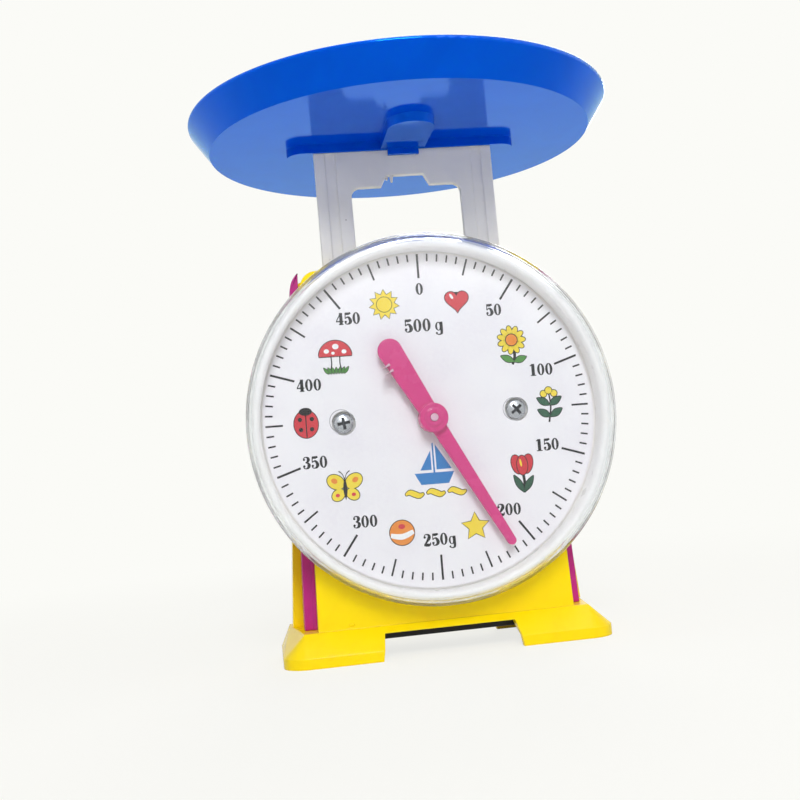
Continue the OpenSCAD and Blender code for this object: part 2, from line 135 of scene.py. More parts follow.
def new_material(name: str) -> tuple[Material, Adder]:
    """Makes an empty node material.

    Args:
        name: Name of the material.

    Returns:
        The material, and what adds a node to it.
    """
    material = bpy.data.materials.new(name)
    material.use_nodes = True
    material.node_tree.nodes.clear()
    return material, partial(add_node, material.node_tree)


def new_object(name: str, mesh: BMesh, *materials: Material) -> Object:
    """Turns a finished mesh into an object of the scene.

    Args:
        name: Name of the object.
        mesh: Mesh in metres in the frame's axes. It is freed.
        *materials: Materials of its slots, in order.

    Returns:
        The new object.
    """
    data = bpy.data.meshes.new(name)
    mesh.to_mesh(data)
    mesh.free()
    for material in materials:
        data.materials.append(material)
    made = bpy.data.objects.new(name, data)
    bpy.context.scene.collection.objects.link(made)
    return made


def bridge(mesh: BMesh, one: Loop, two: Loop) -> None:
    """Joins two closed loops of as many points by a band of faces.

    Args:
        mesh: Mesh that has the points.
        one: First loop.
        two: Second loop.
    """
    for i in range(len(one)):
        j = (i + 1) % len(one)
        mesh.faces.new((one[i], one[j], two[j], two[i]))


def close_between(mesh: BMesh, one: Loop, two: Loop) -> None:
    """Makes a closed piece between two loops of as many points.

    Args:
        mesh: Mesh that has the points.
        one: Loop round one end.
        two: Loop round the other end.
    """
    mesh.faces.new(two)
    mesh.faces.new(one[::-1])
    bridge(mesh, one, two)


# Finishes


@dataclass(frozen=True)
class MouldedPlastic:
    """Injection moulded plastic. A polished tool gives the eye a sharp gloss, with faint cloudy flow marks
    in the colour, wipe marks in the gloss, a trace of orange peel, and edges rubbed a little paler by
    handling. Pearl pigment, where there is some, makes the gloss mirror in the plastic's own colour."""

    name: str
    colour: str
    clouded: str
    worn: str
    roughness: float
    ior: float
    glow: float = 0.05
    glow_mm: float = 0.8
    glow_reach: Place = (1.0, 0.6, 0.4)
    shine: float = 0.5
    pearl: float = 0.0
    slant_tint: str = "#FFFFFF"
    speck_mm: float = 0.0
    speck_r: float = 0.16
    burnt: str = "#4A4648"
    flow_mm: float = 18.0
    wipe_mm: float = 7.0
    wiped: Point = (0.9, 1.2)
    peel_mm: float = 1.3
    peel_depth_mm: float = 0.004
    # Real hairlines are finer, and are drawn this wide to show
    scratch_mm: float = 0.35
    scratch: float = 0.6
    scratch_stretch: float = 14.0
    scratch_turn: Place = (0.3, 0.5, 0.4)
    edge_mm: float = 0.45
    wear: float = 0.3

    def material(self) -> Material:
        """Builds the node material of this plastic.

        Returns:
            The new material.
        """
        material, add = new_material(self.name)
        place = add("TexCoord").outputs["Object"]
        flow = add("TexNoise", {"Vector": place, "Scale": per_mm(self.flow_mm), "Detail": 3.0,
                                "Distortion": 1.4})
        cloud = add("MapRange", {"Value": flow, "From Min": 0.42, "From Max": 0.72, "To Max": 0.55})
        body = add("Mix", {"Factor": cloud, "A": linear(self.colour), "B": linear(self.clouded)},
                   data_type="RGBA")
        rounded = add("Bevel", {"Radius": self.edge_mm * MM}, samples=4)
        flat = add("NewGeometry").outputs["Normal"]
        facing = add("VectorMath", {0: rounded, 1: flat}, operation="DOT_PRODUCT")
        edge = add("MapRange", {"Value": facing, "From Min": 0.995, "From Max": 0.86, "To Max": self.wear})
        coat = add("Mix", {"Factor": edge, "A": body, "B": linear(self.worn)}, data_type="RGBA")
        if self.speck_mm:
            coat = self._specks(add, place, coat)
        wipe = add("TexNoise", {"Vector": place, "Scale": per_mm(self.wipe_mm), "Detail": 5.0,
                                "Roughness": 0.62})
        gloss = add("MapRange", {"Value": wipe, "From Min": 0.35, "From Max": 0.7,
                                 "To Min": self.roughness * self.wiped[0],
                                 "To Max": self.roughness * self.wiped[1]})
        streak = add("Mapping", {"Vector": place, "Rotation": self.scratch_turn,
                                 "Scale": (1.0, self.scratch_stretch, self.scratch_stretch)})
        scratch = add("TexNoise", {"Vector": streak, "Detail": 2.0,
                                   "Scale": per_mm(self.scratch_mm * self.scratch_stretch)})
        hairline = add("MapRange", {"Value": scratch, "From Min": 0.7, "From Max": 0.78,
                                    "To Max": -self.scratch})
        peel = add("TexNoise", {"Vector": place, "Scale": per_mm(self.peel_mm), "Detail": 1.0})
        height = add("Math", {0: peel, 1: hairline}, operation="ADD")
        bump = add("Bump", {"Height": height, "Strength": 0.6, "Normal": rounded,
                            "Distance": self.peel_depth_mm * MM})
        plastic = add("BsdfPrincipled", {"Base Color": coat, "Roughness": gloss, "IOR": self.ior,
                                         "Metallic": self.pearl, "Normal": bump,
                                         "Specular IOR Level": self.shine,
                                         "Specular Tint": linear(self.slant_tint),
                                         "Subsurface Weight": self.glow,
                                         "Subsurface Radius": self.glow_reach,
                                         "Subsurface Scale": self.glow_mm * MM})
        add("OutputMaterial", {"Surface": plastic})
        return material

    def _specks(self, add: Adder, place: NodeSocket, coat: Node) -> Node:
        """Scatters the few dark specks of burnt resin that show in pale plastic.

        Args:
            add: Adds a node to the material.
            place: Place on the object.
            coat: Node that gives the colour without specks.

        Returns:
            The node that gives the colour with specks.
        """
        grain = add("TexVoronoi", {"Vector": place, "Scale": per_mm(self.speck_mm)})
        speck = add("Math", {0: grain, 1: self.speck_r / self.speck_mm}, operation="LESS_THAN")
        return add("Mix", {"Factor": speck, "A": coat, "B": linear(self.burnt)}, data_type="RGBA")


@dataclass(frozen=True)
class ClearMoulding:
    """Clear polystyrene, moulded and polished. Its rim bends what lies behind into fine light and dark
    lines.
    Where the eye meets it edge on, its see-through colour is painted grey: painted shade for the dark room
    bent into the rim, and partly the longer way through the plastic. It mirrors the room, faintly on the
    front and strongly round the rim, and carries fine scuffs and finger smears that only show in that gloss.
    The flat front bends light too little to see, so light goes straight through it, as does some at the rim,
    which keeps its lines fine."""

    name: str
    tint: str
    edge_tint: str
    roughness: float
    smeared: float
    least_gloss: float = 0.05
    most_gloss: float = 0.6
    gloss_power: float = 5.0
    edge_power: float = 16.0
    smear_mm: float = 9.0
    ior: float = 1.4
    bent_share: float = 0.88
    rim_r: Point = (47.5, 49.0)

    def material(self) -> Material:
        """Builds the node material of the clear plastic.

        Returns:
            The new material.
        """
        material, add = new_material(self.name)
        place = add("TexCoord").outputs["Object"]
        smear = add("TexNoise", {"Vector": place, "Scale": per_mm(self.smear_mm), "Detail": 6.0,
                                 "Roughness": 0.6, "Distortion": 0.8})
        gloss = add("MapRange", {"Value": smear, "From Min": 0.5, "From Max": 0.75,
                                 "To Min": self.roughness, "To Max": self.smeared})
        slant = add("LayerWeight", {"Blend": 0.5}).outputs["Facing"]
        graze = add("Math", {0: slant, 1: self.gloss_power}, operation="POWER")
        # Painted shade: the see-through colour turns grey as the view grazes, partly for the longer way
        # through the plastic
        edge = add("Math", {0: slant, 1: self.edge_power}, operation="POWER")
        tint = add("Mix", {"Factor": edge, "A": linear(self.tint), "B": linear(self.edge_tint)},
                   data_type="RGBA")
        clear = add("BsdfTransparent", {"Color": tint})
        mirror = add("BsdfGlossy", {"Roughness": gloss})
        share = add("MapRange", {"Value": graze, "To Min": self.least_gloss, "To Max": self.most_gloss})
        wall = add("MixShader", {"Fac": share, 1: clear, 2: mirror})
        bent = add("BsdfGlass", {"Color": linear(self.tint), "Roughness": 0.0, "IOR": self.ior})
        path = add("LightPath").outputs
        lighting = add("Math", {0: path["Is Shadow Ray"], 1: path["Is Diffuse Ray"]}, operation="MAXIMUM")
        from_axis = add("VectorMath", {0: place, 1: (1, 0, 1), 2: -DIAL_AXIS}, operation="MULTIPLY_ADD")
        reach = add("VectorMath", {0: from_axis}, operation="LENGTH")
        at_rim = add("MapRange", {"Value": reach, "From Min": self.rim_r[0] * MM,
                                  "From Max": self.rim_r[1] * MM, "To Max": self.bent_share})
        bending = add("MapRange", {"Value": lighting, "To Min": at_rim, "To Max": 0.0})
        lens = add("MixShader", {"Fac": bending, 1: wall, 2: bent})
        add("OutputMaterial", {"Surface": lens})
        return material


@dataclass(frozen=True)
class PlatedSteel:
    """Bright zinc plated steel, tumbled in bulk. The plate mirrors softly, with a cool cast, cloudy patches
    and small nicks where screws knocked against each other."""

    name: str
    colour: str
    dulled: str
    roughness: float
    rubbed: Point = (0.7, 1.5)
    cloud_mm: float = 1.6
    nick_mm: float = 0.35
    nick_depth_mm: float = 0.01

    def material(self) -> Material:
        """Builds the node material of the plated metal.

        Returns:
            The new material.
        """
        material, add = new_material(self.name)
        place = add("TexCoord").outputs["Object"]
        cloud = add("TexNoise", {"Vector": place, "Scale": per_mm(self.cloud_mm), "Detail": 4.0})
        nick = add("TexVoronoi", {"Vector": place, "Scale": per_mm(self.nick_mm)})
        tone = add("Mix", {"Factor": cloud, "A": linear(self.colour), "B": linear(self.dulled)},
                   data_type="RGBA")
        gloss = add("MapRange", {"Value": cloud, "From Min": 0.35, "From Max": 0.7,
                                 "To Min": self.roughness * self.rubbed[0],
                                 "To Max": self.roughness * self.rubbed[1]})
        bump = add("Bump", {"Height": nick, "Strength": 0.25, "Distance": self.nick_depth_mm * MM})
        metal = add("BsdfPrincipled", {"Base Color": tone, "Roughness": gloss, "Metallic": 1.0,
                                       "Normal": bump})
        add("OutputMaterial", {"Surface": metal})
        return material


@dataclass(frozen=True)
class PrintedStock:
    """Coated card, or ink printed on it. The coating gives an even satin sheen, the fibres below a faint
    mottle, and ink lies a little unevenly over them."""

    name: str
    colour: str
    mottled: str
    roughness: float = 0.36
    ior: float = 1.48
    shine: float = 0.25
    # Real fibres are far finer, and are drawn this coarse to show
    fibre_mm: float = 0.9
    fibre_depth_mm: float = 0.004
    cloud_mm: float = 16.0

    def material(self) -> Material:
        """Builds the node material of the card or the ink.

        Returns:
            The new material.
        """
        material, add = new_material(self.name)
        place = add("TexCoord").outputs["Object"]
        fibre = add("TexNoise", {"Vector": place, "Scale": per_mm(self.fibre_mm), "Detail": 4.0,
                                 "Roughness": 0.7})
        cloud = add("TexNoise", {"Vector": place, "Scale": per_mm(self.cloud_mm), "Detail": 2.0})
        both = add("Math", {0: fibre, 1: cloud}, operation="MULTIPLY")
        share = add("MapRange", {"Value": both, "From Min": 0.15, "From Max": 0.45})
        tone = add("Mix", {"Factor": share, "A": linear(self.colour), "B": linear(self.mottled)},
                   data_type="RGBA")
        bump = add("Bump", {"Height": fibre, "Strength": 0.3, "Distance": self.fibre_depth_mm * MM})
        stock = add("BsdfPrincipled", {"Base Color": tone, "Roughness": self.roughness, "IOR": self.ior,
                                       "Specular IOR Level": self.shine, "Normal": bump})
        add("OutputMaterial", {"Surface": stock})
        return material


class Finish(Enum):
    """Every finish of the scale, by the material and how its surface was made, with painted shade in the
    screw recesses, round the screw holes and at the lens's rim.
    """

    # ABS off a polished tool has clear, strong colour under an even gloss
    YELLOW_ABS = MouldedPlastic("yellow_abs_moulded", "#FFE000", "#FCD600", "#FFE650", 0.2, 1.53, shine=0.2)
    MAGENTA_ABS = MouldedPlastic("magenta_abs_moulded", "#BE268A", "#B01E80", "#D658AA", 0.24, 1.53,
                                 shine=0.3)
    # Pearl pigment in polypropylene mirrors in blue, and in cyan at a slant
    BLUE_PP = MouldedPlastic("blue_polypropylene_moulded", "#005ADC", "#0054D2", "#106CE2", 0.1, 1.49,
                             glow=0.7, glow_mm=3.0, glow_reach=(0.1, 0.4, 1.0), shine=0.3, pearl=0.36,
                             slant_tint="#70F4FF", edge_mm=0.2)
    # White polypropylene is waxy, lets some light in and has a few dark specks
    WHITE_PP = MouldedPlastic("white_polypropylene_moulded", "#E9E8E7", "#DEDDDE", "#F4F3F2", 0.34, 1.49,
                              glow=0.6, glow_mm=2.0, glow_reach=(1.0, 1.0, 1.0), speck_mm=4.5)
    # White polystyrene spreads light inside, which evens out its shade
    WHITE_PS = MouldedPlastic("white_polystyrene_moulded", "#FCF8F4", "#F7F2ED", "#FDFCFB", 0.3, 1.59,
                              glow=0.8, glow_mm=3.0, glow_reach=(1.0, 1.0, 1.0), shine=0.3, scratch=0.0,
                              edge_mm=0.05, peel_depth_mm=0.002)
    PINK_PS = MouldedPlastic("pink_polystyrene_moulded", "#DC3C88", "#D43480", "#EC78AA", 0.25, 1.59,
                             glow=0.12, shine=0.3)
    # Black polypropylene off a blasted tool is dull and lets no light in
    BLACK_PP = MouldedPlastic("black_polypropylene_moulded", "#1A191B", "#222123", "#3A393B", 0.4, 1.49,
                              glow=0.0, shine=0.3)
    # Acetal is milky, as light goes a little way into it
    ACETAL = MouldedPlastic("natural_acetal_moulded", "#E6E2DA", "#DCD7CD", "#F2EFEA", 0.3, 1.48,
                            glow=0.3, glow_mm=1.4)
    ROSE_ACETAL = MouldedPlastic("rose_tinted_acetal_moulded", "#E2B6CA", "#DAAAC0", "#F0D2DF", 0.18, 1.48,
                                 glow=0.3, glow_mm=1.4)
    # Clear polystyrene; its grey second colour is painted shade at the edge-on rim
    CLEAR_PS = ClearMoulding("clear_polystyrene_polished", "#FDFEFF", "#7A7C82", 0.015, 0.045)
    ZINC_STEEL = PlatedSteel("zinc_plated_steel", "#E8EAEE", "#CFD3D8", 0.24)
    # Darker steel for the screw recess: painted shade, since little light reaches its bottom, and partly the
    # thinner plate there
    RECESS_STEEL = PlatedSteel("zinc_plated_steel_recess_shaded", "#53565C", "#3A3D42", 0.42)
    # Drawn wire is darker than plate
    SPRING_STEEL = PlatedSteel("drawn_spring_steel", "#9EA0A3", "#828488", 0.3)
    CARD = PrintedStock("coated_white_card", "#F8F6F8", "#EFEBF1", 0.42)
    INK_BLACK = PrintedStock("printed_black_ink", "#141317", "#26242A")
    INK_RED = PrintedStock("printed_red_ink", "#D2333F", "#DC4A52")
    INK_YELLOW = PrintedStock("printed_yellow_ink", "#F6D92B", "#FAE35A")
    INK_ORANGE = PrintedStock("printed_orange_ink", "#EE8A2C", "#F29A48")
    INK_GREEN = PrintedStock("printed_green_ink", "#4F8F3F", "#619E50")
    INK_DARK_GREEN = PrintedStock("printed_dark_green_ink", "#2F5B45", "#3B6951")
    INK_BLUE = PrintedStock("printed_blue_ink", "#2C7CC2", "#4189CA")
    INK_WHITE = PrintedStock("printed_white_ink", "#FBFAFA", "#F4F2F3")
    # Grey ring round each screw hole: a painted shadow line at the hole's edge
    CUT_CARD = PrintedStock("painted_hole_edge_shadow", "#B4B2B8", "#A4A2A9", 0.5)

    def material(self) -> Material:
        """The finish's material, made on first use."""
        return bpy.data.materials.get(self.value.name) or self.value.material()


# Pieces


def new_piece(name: str, mesh: BMesh, body: str, slot: str, *finishes: Finish,
              smooth_deg: float = 40.0) -> Object:
    """Turns a finished mesh into a named piece that rides on a body.

    Args:
        name: Name of the piece.
        mesh: Mesh in metres in the frame's axes. It is freed.
        body: Body that carries the piece.
        slot: Material slot of the record; not used.
        *finishes: Finishes of the piece, in the order of its faces' numbers.
        smooth_deg: Edges that bend less than this are shaded smooth.

    Returns:
        The new object.
    """
    bmesh.ops.recalc_face_normals(mesh, faces=mesh.faces[:])
    piece = new_object(name, mesh, *(finish.material() for finish in finishes))
    piece.data.shade_smooth()
    piece.data.set_sharp_from_angle(angle=math.radians(smooth_deg))
    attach(piece, body)
    LOG.info("made %s on %s", name, body)
    return piece


@dataclass(frozen=True)
class Moulding:
    """A node of the frame that keeps its shape and gets a finish and softened edges."""

    node: str
    finish: Finish
    edge_mm: float
    sharp_deg: float = 35.0
    flat_deg: float = 0.4

    def dress(self) -> None:
        """Sets the finish and breaks the sharp edges."""
        piece = bpy.data.objects[self.node]
        piece.data.materials.clear()
        piece.data.materials.append(self.finish.material())
        if self.edge_mm:
            self._soften(piece)
        LOG.info("dressed %s in %s", self.node, self.finish.value.name)

    def _soften(self, piece: Object) -> None:
        """Joins the faces of the piece and rounds the edges between them.

        Args:
            piece: Object of the node.
        """
        weld = piece.modifiers.new("weld", "WELD")
        weld.merge_threshold = SAME_POINT
        flat = piece.modifiers.new("whole_faces", "DECIMATE")
        flat.decimate_type = "DISSOLVE"
        flat.angle_limit = math.radians(self.flat_deg)
        soft = piece.modifiers.new("soft_edges", "BEVEL")
        soft.width = self.edge_mm * MM
        soft.segments = 2
        soft.limit_method = "ANGLE"
        soft.angle_limit = math.radians(self.sharp_deg)
        soft.use_clamp_overlap = False
        even = piece.modifiers.new("even_shading", "WEIGHTED_NORMAL")
        even.keep_sharp = False


# Flat drawing for the dial print


def ellipse(centre: Point, radii: Point, turn_deg: float = 0.0, steps: int = 40) -> Outline:
    """Points round an ellipse.

    Args:
        centre: Middle of the ellipse.
        radii: Its two radii.
        turn_deg: How far it is turned to the left.
        steps: Number of points.

    Returns:
        The outline, to the left.
    """
    c, s = math.cos(math.radians(turn_deg)), math.sin(math.radians(turn_deg))
    points = []
    for a in turns(steps):
        x, z = radii[0] * math.cos(a), radii[1] * math.sin(a)
        points.append((centre[0] + c * x - s * z, centre[1] + s * x + c * z))
    return points


def star_outline(outer: float, inner: float, count: int) -> Outline:
    """Points of a star about the pen, with one point up.

    Args:
        outer: Radius of its points.
        inner: Radius of its notches.
        count: Number of points.

    Returns:
        The outline, to the left.
    """
    points = []
    for i, a in enumerate(turns(2 * count)):
        r = inner if i % 2 else outer
        points.append((-r * math.sin(a), r * math.cos(a)))
    return points


def smooth_path(path: Stroke, steps: int = 8) -> Stroke:
    """Runs a smooth curve through points.

    Args:
        path: Points with a width each.
        steps: Pieces between one point and the next.

    Returns:
        The points of the curve, with their widths.
    """
    if len(path) < 3:
        return path
    ends = [path[0], *path, path[-1]]
    curve = []
    for p0, p1, p2, p3 in zip(ends, ends[1:], ends[2:], ends[3:]):
        for k in range(steps):
            t = k / steps
            curve.append(tuple(0.5 * (2 * b + (c - a) * t + (2 * a - 5 * b + 4 * c - d) * t * t
                                      + (3 * b - a - 3 * c + d) * t ** 3)
                               for a, b, c, d in zip(p0, p1, p2, p3)))
    return [*curve, path[-1]]


def brush(path: Stroke) -> Outline:
    """Outline of a brush stroke through points that have a width each.

    Args:
        path: Points and widths along the stroke.

    Returns:
        The outline round the stroke.
    """
    curve = smooth_path(path)
    left, right = [], []
    for i, (x, z, width) in enumerate(curve):
        before, after = curve[max(i - 1, 0)], curve[min(i + 1, len(curve) - 1)]
        dx, dz = after[0] - before[0], after[1] - before[1]
        size = math.hypot(dx, dz) or 1.0
        nx, nz = -dz / size * width / 2, dx / size * width / 2
        left.append((x + nx, z + nz))
        right.append((x - nx, z - nz))
    return left + right[::-1]


def leaf(root: Point, tip: Point, width: float) -> Outline:
    """Outline of a pointed leaf.

    Args:
        root: Where the leaf starts.
        tip: Where it ends.
        width: Its greatest width.

    Returns:
        The outline.
    """
    shares = [(0.0, 0.05), (0.3, 0.85), (0.55, 1.0), (0.8, 0.6), (1.0, 0.04)]
    return brush([(root[0] + (tip[0] - root[0]) * t, root[1] + (tip[1] - root[1]) * t, width * w)
                  for t, w in shares])


def grown(outline: Outline, by: float) -> Outline:
    """Moves an outline outwards.

    Args:
        outline: Closed outline, either way round.
        by: Distance, outwards.

    Returns:
        The moved outline.
    """
    area = sum(a[0] * b[1] - b[0] * a[1] for a, b in zip(outline, outline[1:] + outline[:1]))
    side = 1 if area > 0 else -1
    moved = []
    for a, p, b in zip(outline[-1:] + outline[:-1], outline, outline[1:] + outline[:1]):
        dx, dz = b[0] - a[0], b[1] - a[1]
        size = math.hypot(dx, dz) or 1.0
        moved.append((p[0] + side * dz / size * by, p[1] - side * dx / size * by))
    return moved


@dataclass(frozen=True)
class Glyph:
    """A bold upright numeral with thin joins and ball ends, drawn one unit high."""

    strokes: tuple[Stroke, ...] = ()
    balls: tuple[Place, ...] = ()
    rings: tuple[tuple[Point, Point, Point], ...] = ()
    advance: float = 0.7


LOW_BOWL = [(0.54, 0.3, 0.2), (0.46, 0.11, 0.15), (0.3, 0.035, 0.07), (0.15, 0.07, 0.06), (0.08, 0.19, 0.05)]
GLYPHS: dict[str, Glyph] = {
    "0": Glyph(rings=(((0.33, 0.5), (0.31, 0.5), (0.1, 0.42)),)),
    "1": Glyph(strokes=([(0.36, 1.0, 0.2), (0.36, 0.0, 0.2)], [(0.1, 0.85, 0.05), (0.34, 0.95, 0.09)],
                        [(0.12, 0.03, 0.06), (0.6, 0.03, 0.06)])),
    "2": Glyph(strokes=([(0.08, 0.76, 0.05), (0.16, 0.92, 0.06), (0.33, 0.97, 0.07), (0.5, 0.87, 0.16),
                         (0.51, 0.68, 0.2), (0.34, 0.42, 0.14), (0.08, 0.1, 0.06)],
                        [(0.05, 0.09, 0.1), (0.2, 0.11, 0.18), (0.44, 0.09, 0.18), (0.57, 0.15, 0.11),
                         (0.61, 0.3, 0.04)]), balls=((0.15, 0.74, 0.1),)),
    "3": Glyph(strokes=([(0.09, 0.8, 0.05), (0.18, 0.93, 0.07), (0.33, 0.965, 0.07), (0.48, 0.88, 0.15),
                         (0.5, 0.74, 0.19), (0.42, 0.59, 0.12), (0.26, 0.53, 0.05)],
                        [(0.26, 0.53, 0.05), (0.45, 0.47, 0.12), *LOW_BOWL]),
               balls=((0.15, 0.77, 0.09), (0.14, 0.23, 0.1))),
    "4": Glyph(strokes=([(0.43, 0.97, 0.06), (0.05, 0.3, 0.06)], [(0.03, 0.285, 0.08), (0.65, 0.285, 0.08)],
                        [(0.45, 1.0, 0.19), (0.45, 0.0, 0.19)], [(0.26, 0.03, 0.06), (0.64, 0.03, 0.06)])),
    "5": Glyph(strokes=([(0.1, 0.92, 0.13), (0.33, 0.9, 0.16), (0.57, 0.95, 0.11)],
                        [(0.13, 0.97, 0.06), (0.11, 0.5, 0.06)],
                        [(0.11, 0.5, 0.05), (0.26, 0.61, 0.08), (0.42, 0.57, 0.14), *LOW_BOWL]),
               balls=((0.14, 0.23, 0.1),)),
    "g": Glyph(strokes=([(0.52, 0.68, 0.15), (0.52, -0.1, 0.15), (0.44, -0.25, 0.1), (0.27, -0.29, 0.06),
                         (0.1, -0.2, 0.06)],), balls=((0.13, -0.17, 0.08),),
               rings=(((0.29, 0.34), (0.25, 0.34), (0.1, 0.28)),)),
    " ": Glyph(advance=0.25),
}


class PrintSheet:
    """Collects flat ink shapes, drawn about a pen, and lays each ink as thin plates on the dial card."""

    ink_mm: ClassVar[float] = 0.02
    numeral_weight: ClassVar[float] = 1.35

    def __init__(self, centre: Vector, turn_deg: float) -> None:
        """Starts an empty sheet with the pen in its middle.

        Args:
            centre: Middle of the print on the card's front face, in metres.
            turn_deg: How far the print is turned on the card, clockwise.
        """
        self.place = Matrix.Translation(centre) @ Matrix.Rotation(math.radians(turn_deg), 4, "Y")
        self.pen: Point = (0.0, 0.0)
        self.meshes: dict[Finish, BMesh] = {}

    def _loop(self, ink: Finish, outline: Outline, lift_mm: float) -> Loop:
        """Adds the points of an outline.

        Args:
            ink: Ink that takes the points.
            outline: The outline, in millimetres from the pen.
            lift_mm: Height of the points over the card.

        Returns:
            The points.
        """
        if ink not in self.meshes:
            self.meshes[ink] = bmesh.new()
        pen_x, pen_z = self.pen
        return [self.meshes[ink].verts.new(self.place @ (Vector((pen_x + x, -lift_mm, pen_z + z)) * MM))
                for x, z in outline]

    def plate(self, ink: Finish, outline: Outline, layer: int = 0) -> None:
        """Lays a filled shape.

        Args:
            ink: Ink of the shape.
            outline: Its outline, in millimetres from the pen.
            layer: Number of inks that lie under it.
        """
        low = self._loop(ink, outline, 0.0)
        high = self._loop(ink, outline, self.ink_mm * (layer + 1))
        close_between(self.meshes[ink], low, high)

    def ring(self, ink: Finish, outer: Outline, inner: Outline) -> None:
        """Lays a closed band between two outlines of as many points.

        Args:
            ink: Ink of the band.
            outer: Outer outline.
            inner: Inner outline.
        """
        loops = [self._loop(ink, line, lift) for line, lift in ((outer, 0.0), (outer, self.ink_mm),
                                                                (inner, self.ink_mm), (inner, 0.0))]
        for one, two in zip(loops, loops[1:] + loops[:1]):
            bridge(self.meshes[ink], one, two)

    def outlined(self, ink: Finish, outline: Outline, layer: int = 1, line_mm: float = 0.22) -> None:
        """Lays a filled shape with a dark line round it.

        Args:
            ink: Ink of the shape.
            outline: Its outline.
            layer: Number of inks that lie under it.
            line_mm: Width of the line.
        """
        self.plate(Finish.INK_BLACK, grown(outline, line_mm), layer - 1)
        self.plate(ink, outline, layer)

    def words(self, ink: Finish, text: str, middle: Point, height: float) -> None:
        """Lays a row of numerals.

        Args:
            ink: Ink of the row.
            text: What it says.
            middle: Middle of the row.
            height: Height of a numeral.
        """
        width = sum(GLYPHS[c].advance for c in text) * height
        x, z = middle[0] - width / 2, middle[1] - height / 2
        for c in text:
            glyph = GLYPHS[c]
            for stroke in glyph.strokes:
                self.plate(ink, brush([(x + px * height, z + pz * height, w * height * self.numeral_weight)
                                       for px, pz, w in stroke]))
            for px, pz, r in glyph.balls:
                centre = (x + px * height, z + pz * height)
                self.plate(ink, ellipse(centre, (r * height, r * height), steps=20))
            for (px, pz), *radii in glyph.rings:
                centre = (x + px * height, z + pz * height)
                self.ring(ink, *(ellipse(centre, (rx * height, rz * height)) for rx, rz in radii))
            x += glyph.advance * height

    def lay(self, body: str, slot: str) -> None:
        """Makes one piece of each ink.

        Args:
            body: Body that carries the card.
            slot: Material slot of the card.
        """
        for ink, mesh in self.meshes.items():
            new_piece("dial_" + ink.name.lower(), mesh, body, slot, ink)


